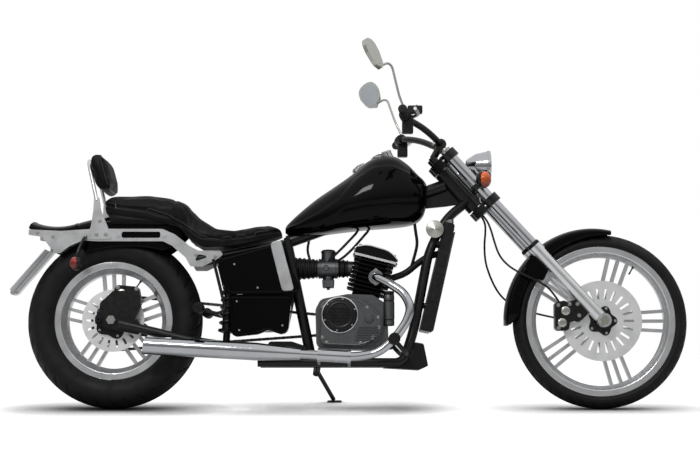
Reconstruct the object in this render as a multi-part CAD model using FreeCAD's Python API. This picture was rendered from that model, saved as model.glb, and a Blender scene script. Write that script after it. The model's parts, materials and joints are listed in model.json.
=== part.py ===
"""Long-fork cruiser motorcycle, parked on its side stand.

The machine is drawn upright: X forward from the rear axle, Y to the rider's left, Z up from
the ground.  At the end every piece is leaned onto the side stand and moved so that the origin
lies on the ground under the middle of the whole machine.  All sizes are millimetres.
"""
import FreeCAD, Part
import math
import os

V = FreeCAD.Vector
LEFT = V(0, 1, 0)
UP = V(0, 0, 1)
FORWARD = V(1, 0, 0)
SIDES = (-1, 1)                    # right, left

# ---------------------------------------------------------------- driving dimensions
WHEELBASE = 1885.0
LEAN = 5.5                         # degrees, top towards the rider's left
RAKE = 42.5                        # degrees, fork behind the vertical
FORK_OFFSET = 55.0                 # fork legs ahead of the steering axis
FORK_HALF_TRACK = 100.0            # leg centre from the middle plane
FORK_LENGTH = 890.0                # axle to the top of a leg
SLIDER_LENGTH = 388.0
BEARING_GAP = 0.1                  # running clearance on a shaft, radial
REST_GAP = 0.3                     # soft or curved pieces from their seat
MOVING_GAP = 5.0                   # moving pieces from fixed ones

FRONT_TYRE = dict(radius=338.5, half_width=42.5, crown=46.0, shoulder=38.0, side_radius=304.0)
FRONT_RIM = dict(bead=267.0, flange=289.5, seat_half=27.0, lip=4.5, inner=249.0, well=259.0)
REAR_TYRE = dict(radius=339.0, half_width=85.5, crown=105.0, shoulder=76.0, side_radius=272.0)
REAR_RIM = dict(bead=203.0, flange=228.0, seat_half=52.0, lip=5.0, inner=184.0, well=194.0)

SPOKE_COUNT = 5
SPOKE_BARS = 3
BAR_WIDTH = 13.0
BAR_HALF_DEPTH = 11.0
FRONT_SPOKES = dict(first=0.4, hub_pitch=26.0, rim_pitch=39.0)
REAR_SPOKES = dict(first=21.0, hub_pitch=32.0, rim_pitch=39.0)
FRONT_HUB = dict(radius=36.0, right=55.0, left=55.0, flange=50.0, flange_depth=9.0)
REAR_HUB = dict(radius=52.0, right=62.0, left=96.0, flange=66.0, flange_depth=10.0)

AXLE_RADIUS = 10.0
SPACER_RADIUS = 17.0
SPACER_GAP = 1.0

FRONT_DISC = dict(radius=155.0, inner=40.0, slot_in=84.0, slot_out=124.0, slots=22)
REAR_DISC = dict(radius=120.0, inner=56.0, slot_in=76.0, slot_out=104.0, slots=18)
DISC_THICKNESS = 5.0
SLOT_WIDTH = 9.0
SPROCKET = dict(radius=98.0, inner=56.0, teeth=36, thickness=6.0, tooth_depth=8.0,
                window_circle=73.0, window=9.0)

STANCHION_RADIUS = 20.5
SLIDER_RADIUS = 24.0
CLAMP_THICKNESS = 34.0
LOWER_CLAMP_AT = 612.0             # distance of its under side from the axle, along the leg
UPPER_CLAMP_AT = FORK_LENGTH - 40.0
STEM_RADIUS = 14.0
NECK_RADIUS = 32.0

TUBE = 17.0                        # radius of the down tubes and rails
PIVOT_PIN = 9.0
SPINE = 25.0
SEAT_TUBE = 19.0
SEAT_RAIL = 12.0
CRADLE_HALF = 98.0                 # lower rails from the middle plane
RAIL_HEIGHT = 178.0

FENDER_WALL = 3.0
FRONT_FENDER = dict(top=374.0, skirt=322.0, half=58.0, start=83.0, end=182.0)
REAR_FENDER = dict(arch=700.0, half=100.0, depth=125.0, front=19.0, back=17.5,
                   tail=250.0, tail_turn=38.5, tail_depth=30.0)
REAR_ARCH_CENTRE = V(60.0, 0, 52.0)

MUFFLER_RADIUS = 34.0
PIPE_RADIUS = 17.0
SHIELD_RADIUS = 24.0

SPOOL = V(-45, 0, 341)
SPOOL_RADIUS = 11.0
SPOOL_LENGTH = 20.0
SPOOL_THREAD = 16.0
SPOOL_BORE = 4.0

STAND_PIVOT = V(781, 128, 152)
STAND_AXIS = V(0.09, 0.68, 0.73)
STAND_AXIS.normalize()
STAND_PIN = 5.0

# ---------------------------------------------------------------- derived places
lean = math.radians(LEAN)
rake = math.radians(RAKE)


def axle_height(tyre):
    """Axle height at which the leaned tyre just touches the ground."""
    return tyre["radius"] + tyre["crown"] * (1.0 / math.cos(lean) - 1.0)


REAR_AXLE = V(0, 0, axle_height(REAR_TYRE))
FRONT_AXLE = V(WHEELBASE, 0, axle_height(FRONT_TYRE))
FORK_UP = V(-math.sin(rake), 0, math.cos(rake))
FORK_AHEAD = V(math.cos(rake), 0, math.sin(rake))


def on_leg(distance, side=0, ahead=0.0):
    """Point on a fork leg (or the middle plane), measured from the axle."""
    return FRONT_AXLE + FORK_UP * distance + FORK_AHEAD * ahead + LEFT * (side * FORK_HALF_TRACK)


def on_steering(distance, ahead=0.0):
    """Point on the steering axis, level with the given distance along the legs."""
    return on_leg(distance, ahead=ahead - FORK_OFFSET)


def from_front(rows):
    """Rows whose first number is measured from the front axle, made absolute."""
    return [(FRONT_AXLE.x + row[0],) + tuple(row[1:]) for row in rows]


# ---------------------------------------------------------------- shape helpers
def unit(vector):
    return vector * (1.0 / vector.Length)


def rod(start, end, radius):
    return Part.makeCylinder(radius, (end - start).Length, start, end - start)


def cross_rod(centre, y_from, y_to, radius):
    """Round bar along Y."""
    return rod(V(centre.x, y_from, centre.z), V(centre.x, y_to, centre.z), radius)


def cone(start, end, radius_start, radius_end):
    return Part.makeCone(radius_start, radius_end, (end - start).Length, start, end - start)


def rounded_loop(points, radii):
    """Closed wire through coplanar points, each corner rounded with a tangent arc."""
    count = len(points)
    edges = []
    joints = []
    for i, corner in enumerate(points):
        to_last = unit(points[i - 1] - corner)
        to_next = unit(points[(i + 1) % count] - corner)
        radius = radii[i]
        if radius <= 0.0:
            joints.append((corner, None, corner))
            continue
        half = to_last.getAngle(to_next) / 2.0
        reach = radius / math.tan(half)
        middle = corner + unit(to_last + to_next) * (radius / math.sin(half) - radius)
        joints.append((corner + to_last * reach, middle, corner + to_next * reach))
    for i, (first, middle, last) in enumerate(joints):
        if middle is not None:
            edges.append(Part.Arc(first, middle, last).toShape())
        following = joints[(i + 1) % count][0]
        if (following - last).Length > 1e-6:
            edges.append(Part.LineSegment(last, following).toShape())
    return Part.Wire(Part.__sortEdges__(edges))


def side_plate(corners, y_from, y_to):
    """Plate seen from the side; corners are (x, z, rounding)."""
    loop = rounded_loop([V(x, y_from, z) for x, z, r in corners], [r for x, z, r in corners])
    return Part.Face(loop).extrude(V(0, y_to - y_from, 0))


def plan_plate(corners, z_from, z_to):
    """Plate seen from above; corners are (x, y, rounding)."""
    loop = rounded_loop([V(x, y, z_from) for x, y, r in corners], [r for x, y, r in corners])
    return Part.Face(loop).extrude(V(0, 0, z_to - z_from))


def turned(rows, centre, axis=LEFT, outward=FORWARD, angle=360.0):
    """Solid of revolution; rows are (radius, distance along the axis, rounding)."""
    points = [centre + outward * r + axis * a for r, a, c in rows]
    loop = rounded_loop(points, [c for r, a, c in rows])
    return Part.Face(loop).revolve(centre, axis, angle)


def path_wire(points, bend=None):
    """Straight runs joined by tangent arcs, each as large as its two runs allow."""
    edges = []
    radii = []
    last = points[0]
    for before, corner, after in zip(points, points[1:], points[2:]):
        into = unit(corner - before)
        out = unit(after - corner)
        turn = into.getAngle(out)
        shorter = min((corner - before).Length, (after - corner).Length)
        radius = bend or 0.45 * shorter / math.tan(turn / 2.0)
        reach = radius * math.tan(turn / 2.0)
        start = corner - into * reach
        end = corner + out * reach
        middle = corner + unit(out - into) * (radius / math.cos(turn / 2.0) - radius)
        edges.append(Part.LineSegment(last, start).toShape())
        edges.append(Part.Arc(start, middle, end).toShape())
        radii.append(radius)
        last = end
    edges.append(Part.LineSegment(last, points[-1]).toShape())
    return Part.Wire(edges), radii


def pipe(points, radius, bend=None):
    """Solid round bar along straight runs and tangent arcs."""
    wire = path_wire(points, bend)[0]
    section = Part.Wire(Part.makeCircle(radius, points[0], points[1] - points[0]))
    return wire.makePipeShell([section], True, False)


def mirrored(shape):
    return shape.mirror(V(0, 0, 0), LEFT)


def pair(shape):
    """The piece and its mirror image on the other side, as separate solids."""
    return Part.makeCompound([shape, mirrored(shape)])


def fused(shapes):
    return shapes[0].multiFuse(shapes[1:]).removeSplitter()


def box_at(centre, length, width, height, rounding=0.0):
    """Block about a centre, its upright edges and then all others rounded."""
    corner = centre - V(length / 2.0, width / 2.0, height / 2.0)
    block = Part.makeBox(length, width, height, corner)
    return block.makeFillet(rounding, block.Edges) if rounding else block


# ---------------------------------------------------------------- wheels
def tyre(axle, size, rim):
    """Round section: seat between the rim flanges, bulging sidewalls and a round crown."""
    crown_centre = size["radius"] - size["crown"]
    swing = math.asin(size["shoulder"] / size["crown"])
    shoulder_r = crown_centre + size["crown"] * math.cos(swing)

    def at(radius, y):
        return axle + FORWARD * radius + LEFT * y

    seat = rim["seat_half"]
    edges = [Part.LineSegment(at(rim["bead"], seat), at(rim["bead"], -seat))]
    edges.append(Part.LineSegment(at(rim["bead"], -seat), at(rim["flange"], -seat)))
    for side in SIDES:
        edges.append(Part.Arc(at(rim["flange"], side * seat),
                              at(size["side_radius"], side * size["half_width"]),
                              at(shoulder_r, side * size["shoulder"])))
    edges.append(Part.Arc(at(shoulder_r, -size["shoulder"]), at(size["radius"], 0),
                          at(shoulder_r, size["shoulder"])))
    edges.append(Part.LineSegment(at(rim["flange"], seat), at(rim["bead"], seat)))
    loop = Part.Wire(Part.__sortEdges__([edge.toShape() for edge in edges]))
    return Part.Face(loop).revolve(axle, LEFT, 360)


def rim_rows(rim):
    """Half of the rim section in (radius, y, rounding), from the well out to the flange."""
    seat = rim["seat_half"]
    edge = seat + rim["lip"]
    slope = (rim["bead"] - rim["inner"]) / 2.0
    return [(rim["well"], seat * 0.35, 3), (rim["bead"], seat * 0.55, 3), (rim["bead"], seat, 0),
            (rim["flange"], seat, 0), (rim["flange"], edge, 2), (rim["bead"], edge, 4),
            (rim["inner"] + slope, seat * 0.8, 4), (rim["inner"], seat * 0.5, 3)]


def spoke_bar(axle, rim, hub, angle, offset_hub, offset_rim):
    """One bar of a triple spoke, fanning out slightly from hub to rim."""
    start = hub["radius"] - 8.0
    end = rim["inner"] + 4.0
    half = BAR_WIDTH / 2.0
    corners = [(start, offset_hub - half), (end, offset_rim - half),
               (end, offset_rim + half), (start, offset_hub + half)]
    points = [axle + V(r, -BAR_HALF_DEPTH, across) for r, across in corners]
    bar = Part.Face(rounded_loop(points, [0] * 4)).extrude(V(0, 2 * BAR_HALF_DEPTH, 0))
    bar.rotate(axle, LEFT, -angle)
    return bar


def cast_wheel(axle, rim, hub, spokes):
    """Rim, hub and five spokes of three bars, cast in one piece."""
    half = rim_rows(rim)
    other = [(r, -y, c) for r, y, c in reversed(half)]
    pieces = [turned(half + other, axle)]
    depth = hub["flange_depth"]
    pieces.append(cross_rod(axle, -hub["right"], hub["left"], hub["radius"]))
    for face, back in ((-hub["right"], depth), (hub["left"], -depth)):
        pieces.append(cross_rod(axle, face, face + back, hub["flange"]))
    for spoke in range(SPOKE_COUNT):
        angle = spokes["first"] + spoke * 360.0 / SPOKE_COUNT
        for bar in range(SPOKE_BARS):
            place = bar - (SPOKE_BARS - 1) / 2.0
            pieces.append(spoke_bar(axle, rim, hub, angle, place * spokes["hub_pitch"],
                                    place * spokes["rim_pitch"]))
    wheel = fused(pieces)
    return wheel.cut(cross_rod(axle, -hub["right"] - 1, hub["left"] + 1, AXLE_RADIUS + BEARING_GAP))


def slotted_disc(axle, disc, y_from, y_to):
    """Brake disc: outer braking band on a carrier with radial slots."""
    plate = cross_rod(axle, y_from, y_to, disc["radius"])
    plate = plate.cut(cross_rod(axle, y_from - 1, y_to + 1, disc["inner"]))
    half = SLOT_WIDTH / 2.0
    slots = []
    for i in range(disc["slots"]):
        slot = Part.makeBox(disc["slot_out"] - disc["slot_in"], y_to - y_from + 2, SLOT_WIDTH,
                            axle + V(disc["slot_in"], y_from - 1, -half))
        slot.rotate(axle, LEFT, i * 360.0 / disc["slots"])
        slots.append(slot)
    return plate.cut(slots)


def toothed_wheel(axle, size, y_from):
    """Rear sprocket with straight-flanked teeth and five lightening windows."""
    teeth = size["teeth"]
    step = 2.0 * math.pi / teeth
    root = size["radius"] - size["tooth_depth"]
    points = []
    for i in range(teeth):
        for radius, part in ((root, -0.30), (size["radius"], -0.12),
                             (size["radius"], 0.12), (root, 0.30)):
            angle = (i + part) * step
            points.append(V(axle.x + radius * math.cos(angle), y_from,
                            axle.z + radius * math.sin(angle)))
    plate = Part.Face(Part.makePolygon(points + points[:1])).extrude(V(0, size["thickness"], 0))
    holes = [cross_rod(axle, y_from - 1, y_from + size["thickness"] + 1, size["inner"])]
    for i in range(SPOKE_COUNT):
        angle = 2.0 * math.pi * (i + 0.5) / SPOKE_COUNT
        middle = axle + V(math.cos(angle), 0, math.sin(angle)) * size["window_circle"]
        holes.append(cross_rod(middle, y_from - 1, y_from + size["thickness"] + 1, size["window"]))
    return plate.cut(holes)


FRONT_DISC_Y = -(FRONT_HUB["right"] + DISC_THICKNESS)
REAR_DISC_Y = -(REAR_HUB["right"] + DISC_THICKNESS)
SPROCKET_Y = REAR_HUB["left"]

# Distances of the hub face and of the fork or swingarm end's two faces, right and left.
FRONT_ENDS = ((FRONT_HUB["right"], FORK_HALF_TRACK - 23.0, FORK_HALF_TRACK + 23.0),
              (FRONT_HUB["left"], FORK_HALF_TRACK - 23.0, FORK_HALF_TRACK + 23.0))
REAR_ENDS = ((REAR_HUB["right"], 106.0, 118.0), (REAR_HUB["left"], 112.0, 124.0))
NUT_REACH = 18.0
NUT_HEIGHT = 11.0
AXLE_STUB = 14.0


def axle_shaft(axle, ends):
    """Axle with a spacer each side of the hub and a nut outside each fork end."""
    right = -(ends[0][2] + AXLE_STUB)
    left = ends[1][2] + AXLE_STUB
    pieces = [cross_rod(axle, right, left, AXLE_RADIUS)]
    turns = [math.radians(60.0 * i) for i in range(6)]
    nut = [(axle.x + NUT_REACH * math.cos(t), axle.z + NUT_REACH * math.sin(t), 0) for t in turns]
    for side, (hub_face, inner, outer) in zip(SIDES, ends):
        pieces.append(cross_rod(axle, *sorted((side * (hub_face + SPACER_GAP), side * inner)),
                                SPACER_RADIUS))
        pieces.append(side_plate(nut, *sorted((side * outer, side * (outer + NUT_HEIGHT)))))
    return fused(pieces)


def front_axle():
    """Front axle with the speedometer drive on the left of the hub."""
    drive = cross_rod(FRONT_AXLE, FRONT_HUB["left"] + 1.5, 74.0, 30.0)
    core = cross_rod(FRONT_AXLE, 0, 90.0, AXLE_RADIUS)
    return fused([axle_shaft(FRONT_AXLE, FRONT_ENDS), drive.cut(core)])


# ---------------------------------------------------------------- frame
NECK_LOW = LOWER_CLAMP_AT + CLAMP_THICKNESS + MOVING_GAP + 1.0
NECK_HIGH = UPPER_CLAMP_AT - MOVING_GAP
SPINE_FRONT = on_steering(800, 0) + V(-19, 0, -19)
SPINE_REAR = V(668, 0, 650)
NECK_FOOT = on_steering(700)
DOWN_TUBE = ((NECK_FOOT.x, 16, NECK_FOOT.z - 10), (1290, 40, 742), (1222, 58, 620), (1160, 70, 300),
             (1118, CRADLE_HALF, RAIL_HEIGHT), (1040, CRADLE_HALF, RAIL_HEIGHT))
RAIL_END_X = 560.0
SEAT_POST_TOP = V(666, 62, 650)
SEAT_POST_FOOT = V(766, 62, RAIL_HEIGHT)
SEAT_RAIL_PATH = ((655, 70, 640), (430, 96, 590), (300, 96, 575))
SEAT_CROSS_AT = V(452, 0, 586)
PIVOT = V(640, 0, 226)
PIVOT_TUBE = 20.0
ARM_RADIUS = 17.0
ARM_RIGHT = -121.0
ARM_LEFT = 128.0
CROSS_TUBE = 14.0
MUFFLER_Y = ARM_RIGHT - ARM_RADIUS - MUFFLER_RADIUS - MOVING_GAP


def frame_backbone():
    """Steering head with the backbone tube and its gusset plates."""
    low = on_steering(NECK_LOW)
    high = on_steering(NECK_HIGH)
    head = rod(low, high, NECK_RADIUS)
    spine = rod(SPINE_FRONT, SPINE_REAR, SPINE)
    gusset = [(1322, 905, 6), (1205, 850, 10), (1190, 780, 10), (1290, 790, 6), (1352, 800, 6)]
    plate = side_plate(gusset, -6, 6)
    cross = cross_rod(SPINE_REAR, -58, 58, CROSS_TUBE)
    body = fused([head, spine, plate, cross])
    bore = rod(low - FORK_UP * 5, high + FORK_UP * 5, STEM_RADIUS + BEARING_GAP)
    return body.cut(bore)


def frame_down_tubes():
    """Two tubes from the steering head down to the lower rails, coped to the head."""
    tube = pipe([V(*p) for p in DOWN_TUBE], TUBE)
    head = rod(on_steering(NECK_LOW), on_steering(NECK_HIGH), NECK_RADIUS)
    return pair(tube.cut(head))


def frame_lower_rails():
    """Two lower rails joined by cross tubes, with the engine mounts."""
    pieces = []
    for side in SIDES:
        y = side * CRADLE_HALF
        pieces.append(rod(V(1040, y, RAIL_HEIGHT), V(RAIL_END_X, y, RAIL_HEIGHT), TUBE))
    for x in (RAIL_END_X + 25, SEAT_POST_FOOT.x, 1010):
        pieces.append(cross_rod(V(x, 0, RAIL_HEIGHT), -CRADLE_HALF, CRADLE_HALF, CROSS_TUBE))
    for sign in (1, -1):
        level = STAND_AXIS * (sign * 17.5)
        ear = STAND_AXIS * (sign * 10.4)
        pieces.append(rod(STAND_PIVOT + ear, STAND_PIVOT + STAND_AXIS * (sign * 21.0), 14))
        start = V(STAND_PIVOT.x, 104, 190) if sign > 0 else V(STAND_PIVOT.x, 90, 163)
        pieces.append(rod(start, STAND_PIVOT + level, 6))
    pieces.append(rod(STAND_PIVOT - STAND_AXIS * 24, STAND_PIVOT + STAND_AXIS * 24, STAND_PIN))
    return fused(pieces)


def frame_seat_posts():
    """Two posts from the lower rails to the backbone, with the seat rails and pivot plates."""
    post = rod(SEAT_POST_FOOT, SEAT_POST_TOP, SEAT_TUBE)
    rail = pipe([V(*p) for p in SEAT_RAIL_PATH], SEAT_RAIL)
    plate = [(598, 180, 4), (598, 258, 15), (690, 258, 15), (745, 240, 6), (765, 180, 4)]
    pivot_plate = side_plate(plate, CRADLE_HALF - 5, CRADLE_HALF + 5)
    half = fused([post, rail, pivot_plate])
    cross = cross_rod(SEAT_CROSS_AT, -92, 92, CROSS_TUBE - 4)
    frame = fused([half, mirrored(half), cross])
    return frame.cut(cross_rod(PIVOT, -120, 120, PIVOT_PIN))


def arm_path(y):
    """Middle line of one arm, from the axle plate to the pivot."""
    return [V(30, y, 326), V(370, y, 246), V(PIVOT.x, y, PIVOT.z)]


def swingarm():
    """Arms outside the tyre from the pivot to the axle plates, with paddock-stand spools."""
    pieces = [cross_rod(PIVOT, -(CRADLE_HALF - 5.5), CRADLE_HALF - 5.5, PIVOT_TUBE)]
    plate = [(-62, 322, 16), (-62, 360, 16), (40, 372, 20), (110, 330, 10), (110, 282, 10),
             (20, 300, 20)]
    for side, y, (_, inner, outer) in zip(SIDES, (ARM_RIGHT, ARM_LEFT), REAR_ENDS):
        pieces.append(pipe(arm_path(y), ARM_RADIUS))
        pieces.append(side_plate(plate, *sorted((side * inner, side * outer))))
        pieces.append(cross_rod(SPOOL, side * inner, side * (outer + SPOOL_LENGTH), SPOOL_RADIUS))
    pieces.append(cross_rod(PIVOT, ARM_RIGHT, ARM_LEFT, PIVOT_PIN))
    pieces.append(cross_rod(V(430, 0, 242), ARM_RIGHT, ARM_LEFT, CROSS_TUBE))
    body = fused(pieces)
    holes = [cross_rod(REAR_AXLE, -130, 136, AXLE_RADIUS)]
    for side, (_, inner, outer) in zip(SIDES, REAR_ENDS):
        holes.append(cross_rod(SPOOL, side * (outer + SPOOL_LENGTH - SPOOL_THREAD),
                               side * (outer + SPOOL_LENGTH + 2), SPOOL_BORE))
    return body.cut(holes)


def shock_absorber():
    """Single shock behind the battery box: body, piston rod, spring coils and end eyes."""
    low = V(430, 0, 242)
    along = unit(SEAT_CROSS_AT - low)
    high = SEAT_CROSS_AT
    length = (high - low).Length
    pieces = [rod(low + along * 5, low + along * 90, 9),
              rod(low + along * 80, high - along * 11, 21)]
    seats = (58.0, length - 30.0)
    for at in seats:
        pieces.append(rod(low + along * at, low + along * (at + 8), 35))
    coils = 8
    pitch = (seats[1] - seats[0] - 8.0) / coils
    rows = [(15, 0, 0)]
    for i in range(coils):
        rows += [(24, i * pitch, 0), (33, (i + 0.35) * pitch, 0), (33, (i + 0.65) * pitch, 0)]
    rows += [(24, coils * pitch, 0), (15, coils * pitch, 0)]
    outward = unit(along.cross(LEFT))
    pieces.append(turned(rows, low + along * (seats[0] + 8.0), axis=along, outward=outward))
    return fused(pieces)


# ---------------------------------------------------------------- rear end
FENDER_BOLTS = (19.0, 198.0)
BOLT_HEIGHT = 667.0


def fender_section(top, depth, half):
    """Inverted U of a fender: crown arc and straight skirts, in (radius, y)."""
    wall = FENDER_WALL
    shoulder = min(depth - 2.0, 26.0)

    def curve(out, side_half):
        return [V(out - depth, 0, -side_half), V(out - shoulder, 0, -side_half), V(out, 0, 0),
                V(out - shoulder, 0, side_half), V(out - depth, 0, side_half)]
    return curve(top, half), curve(top - wall, half - wall)


def fender_arc(centre, top, depth, half, start, end, inside_out=False):
    """Fender skin turned about a centre from one angle to another (degrees from forward)."""
    outer, inner = fender_section(top, depth, half)
    if inside_out:
        outer, inner = fender_section(-top, depth, half)

    def place(p):
        return centre + V(abs(p.x) if not inside_out else -p.x, p.z, 0)
    o = [place(p) for p in outer]
    i = [place(p) for p in inner]
    edges = [Part.LineSegment(o[0], o[1]), Part.Arc(o[1], o[2], o[3]), Part.LineSegment(o[3], o[4]),
             Part.LineSegment(o[4], i[4]), Part.LineSegment(i[4], i[3]), Part.Arc(i[3], i[2], i[1]),
             Part.LineSegment(i[1], i[0]), Part.LineSegment(i[0], o[0])]
    loop = Part.Wire(Part.__sortEdges__([e.toShape() for e in edges]))
    skin = Part.Face(loop)
    skin.rotate(centre, LEFT, -start)
    return skin.revolve(centre, LEFT, -(end - start))


def rear_fender():
    """Long arch over the tyre, ending in a tail that flips up."""
    size = REAR_FENDER
    arch = fender_arc(REAR_ARCH_CENTRE, size["arch"], size["depth"], size["half"],
                      90 - size["front"], 90 + size["back"])
    tail_start = math.radians(90 + size["back"])
    edge = REAR_ARCH_CENTRE + V(math.cos(tail_start), 0, math.sin(tail_start)) * size["arch"]
    centre = edge + V(math.cos(tail_start), 0, math.sin(tail_start)) * size["tail"]
    start = math.degrees(tail_start) - 180.0
    tail = fender_arc(centre, size["tail"], size["tail_depth"], size["half"], start,
                      start - size["tail_turn"], inside_out=True)
    return fused([arch, tail])


RAIL_OUTLINE = ((-324, 688, 4), (-324, 667, 4), (-273, 659, 8), (-222, 596, 8), (-200, 596, 8),
                (-168, 622, 20), (-117, 645, 20), (-59, 642, 10), (194, 642, 30),
                (228, 625, 10), (280, 580, 8), (300, 545, 8), (345, 545, 10), (400, 572, 10),
                (425, 590, 8), (415, 606, 8), (330, 606, 20), (299, 622, 20), (240, 668, 30),
                (190, 690, 30), (-75, 690, 10), (-200, 682, 30))
RAIL_WINDOWS = (((34, 655, 8), (183, 655, 8), (183, 679, 8), (34, 679, 8)),
                ((312, 562, 6), (375, 583, 5), (330, 592, 6)))
RAIL_INNER = 108.0
RAIL_OUTER = 113.0


def fender_rails():
    """Polished strut each side: flat plate with windows, bolted to the fender on bosses."""
    plate = side_plate(RAIL_OUTLINE, RAIL_INNER, RAIL_OUTER)
    plate = plate.cut([side_plate(w, RAIL_INNER - 1, RAIL_OUTER + 1) for w in RAIL_WINDOWS])
    bosses = [cross_rod(V(x, 0, BOLT_HEIGHT), REAR_FENDER["half"], RAIL_INNER, 12)
              for x in FENDER_BOLTS]
    heads = [cross_rod(V(x, 0, BOLT_HEIGHT), RAIL_OUTER, RAIL_OUTER + 6, 9) for x in FENDER_BOLTS]
    return pair(fused([plate] + bosses + heads))


BLADE_INNER = RAIL_OUTER
BLADE_OUTER = 118.0
HOOP = ((-64, 115.5, 800), (-80, 106, 866), (-108, 72, 966))
HOOP_RADIUS = 7.0


def backrest_frame():
    """Flared blades bolted to the fender rails, carrying the hoop behind the pad."""
    blade = [(-98, 650, 8), (-2, 650, 8), (-20, 700, 20), (-46, 760, 30), (-54, 812, 4),
             (-74, 812, 4), (-76, 760, 30), (-84, 700, 20)]
    side = [V(*p) for p in HOOP]
    hoop = pipe(side + [V(p.x, -p.y, p.z) for p in reversed(side)], HOOP_RADIUS)
    blades = [side_plate(blade, BLADE_INNER, BLADE_OUTER), side_plate(blade, -BLADE_OUTER, -BLADE_INNER)]
    return fused(blades + [hoop])


def backrest_pad():
    """Upright pad leaning back against the hoop."""
    pad = side_plate([(-30, 0, 28), (30, 0, 28), (30, 152, 28), (-30, 152, 28)], -115, 115)
    pad.rotate(V(0, 0, 0), LEFT, -16.0)
    pad.translate(V(-33, 0, 840))
    return pad


SEAT_SIDE = ((-14, 701, 6), (-44, 770, 20), (-51, 797, 12), (-20, 815, 30), (135, 818, 60), (213, 806, 40),
             (275, 786, 40), (332, 725, 60), (400, 682, 60), (470, 676, 60), (560, 696, 60),
             (655, 712, 20), (655, 670, 12), (563, 640, 30), (485, 622, 30), (425, 612, 30),
             (345, 612, 30), (300, 640, 30), (250, 694, 20), (190, 701, 20))
SEAT_PLAN = ((-51, -106, 30), (250, -124, 60), (420, -150, 80), (560, -130, 80), (655, -60, 25),
             (655, 60, 25), (560, 130, 80), (420, 150, 80), (250, 124, 60), (-51, 106, 30))


def seat():
    """Two-level saddle: side profile cut to its plan."""
    profile = side_plate(SEAT_SIDE, -160, 160)
    body = profile.common(plan_plate(SEAT_PLAN, 590, 840))
    half = REAR_FENDER["half"] + REST_GAP
    arch = cross_rod(REAR_ARCH_CENTRE, -half, half, REAR_FENDER["arch"] + REST_GAP)
    arch = arch.common(Part.makeBox(700, 300, 800, V(-400, -150, 100)))
    body = body.cut(arch)
    rails = [pipe([V(x, side * y, z) for x, y, z in SEAT_RAIL_PATH], SEAT_RAIL + REST_GAP)
             for side in SIDES]
    return body.cut(rails)


def rear_lamps():
    """Oblong tail lamp under the fender tail and a signal on a stem each side."""
    lens = side_plate([(-284, 656, 8), (-284, 688, 8), (-258, 688, 3), (-258, 656, 3)], -52, 52)
    base = side_plate([(-258, 656, 0), (-258, 674, 0), (-240, 668, 0), (-240, 650, 0)], -30, 30)
    pieces = [fused([lens, base])]
    for side in SIDES:
        stem = pipe([V(-104, side * RAIL_OUTER, 662), V(-106, side * 140, 648),
                     V(-120, side * 164, 600), V(-128, side * 168, 570)], 6)
        body = rod(V(-157, side * 168, 552), V(-109, side * 168, 552), 29)
        pieces.append(fused([stem, body]))
    return Part.makeCompound(pieces)


PLATE_HOLE = 3.0
PLATE_PITCH = 70.0                 # hole centre from the middle plane


def number_plate_bracket():
    """Cross plate between the rails and a sloping carrier with a blank plate and reflector."""
    cross = side_plate([(-240, 608, 1), (-240, 668, 1), (-236, 668, 1), (-236, 604, 1)],
                       -RAIL_INNER, RAIL_INNER)
    carrier = side_plate([(-240, 636, 2), (-396, 452, 6), (-384, 442, 6), (-236, 616, 2)], -18, 18)
    plate = side_plate([(-262, 612, 1), (-394, 456, 1), (-397, 458, 1), (-265, 614, 1)], -90, 90)
    knob = rod(V(-397, -28, 452), V(-397, 28, 452), 11)
    down = unit(V(-132, 0, -156))
    out = V(down.z, 0, -down.x)
    holes = []
    for side in SIDES:
        middle = V(-281, side * PLATE_PITCH, 591)
        holes.append(rod(middle - out * 12, middle + out * 12, PLATE_HOLE))
    return fused([cross, carrier, plate, knob]).cut(holes)


# ---------------------------------------------------------------- engine
CASE_HALF = 100.0
COUNTERSHAFT = V(806, 0, 330)
WELL_FLOOR = 84.0                  # left case wall behind the drive sprocket
RIGHT_FACE = 130.0                 # outer faces of the raised covers from the middle plane
LEFT_FACE = 125.0


def crankcase():
    """Case halves with a raised cover each side and the drive sprocket's well cut from the left."""
    outline = [(784, 232, 25), (1010, 226, 40), (1060, 262, 30), (1056, 400, 40), (1000, 436, 20),
               (905, 440, 10), (800, 420, 30), (780, 380, 30)]
    case = side_plate(outline, -CASE_HALF, CASE_HALF)
    cover = [(796, 246, 30), (960, 240, 40), (1030, 280, 40), (1040, 350, 50), (965, 410, 50),
             (860, 432, 60), (792, 400, 40)]
    right = side_plate(cover, -RIGHT_FACE, -CASE_HALF)
    left = side_plate(cover, CASE_HALF, LEFT_FACE)
    well = side_plate([(740, 250, 0), (864, 250, 0), (864, 396, 0), (740, 396, 0)], WELL_FLOOR, 200)
    return fused([case, right, left]).cut(well)


def engine_covers():
    """Round clutch cover on the right, alternator and sprocket covers on the left."""
    clutch = turned([(0, 0, 0), (66, 0, 0), (66, 10, 4), (58, 18, 4), (0, 22, 0)], V(874, -RIGHT_FACE, 358),
                    axis=V(0, -1, 0))
    alternator = turned([(0, 0, 0), (72, 0, 0), (70, 18, 6), (56, 28, 6), (0, 30, 0)],
                        V(960, LEFT_FACE, 335), axis=LEFT)
    sprocket = side_plate([(786, 262, 20), (884, 258, 20), (884, 396, 30), (800, 396, 30)], LEFT_FACE,
                          LEFT_FACE + 13)
    starter = rod(V(1062, -98, 318), V(1062, -98, 450), 20).cut(crankcase())
    return Part.makeCompound([clutch, alternator, sprocket, starter])


CYLINDER_TILT = 14.0
CYLINDER_BASE = V(972, 0, 432)
FIN_COUNT = 8
FIN_PITCH = 16.5
FIN_THICKNESS = 5.0
FIN_START = 18.0
FIN_HALF_X = 77.0
FIN_HALF_Y = 80.0
HEAD_AT = FIN_START + FIN_COUNT * FIN_PITCH


def in_cylinder(shape):
    shape.rotate(V(0, 0, 0), LEFT, CYLINDER_TILT)
    shape.translate(CYLINDER_BASE)
    return shape


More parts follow.
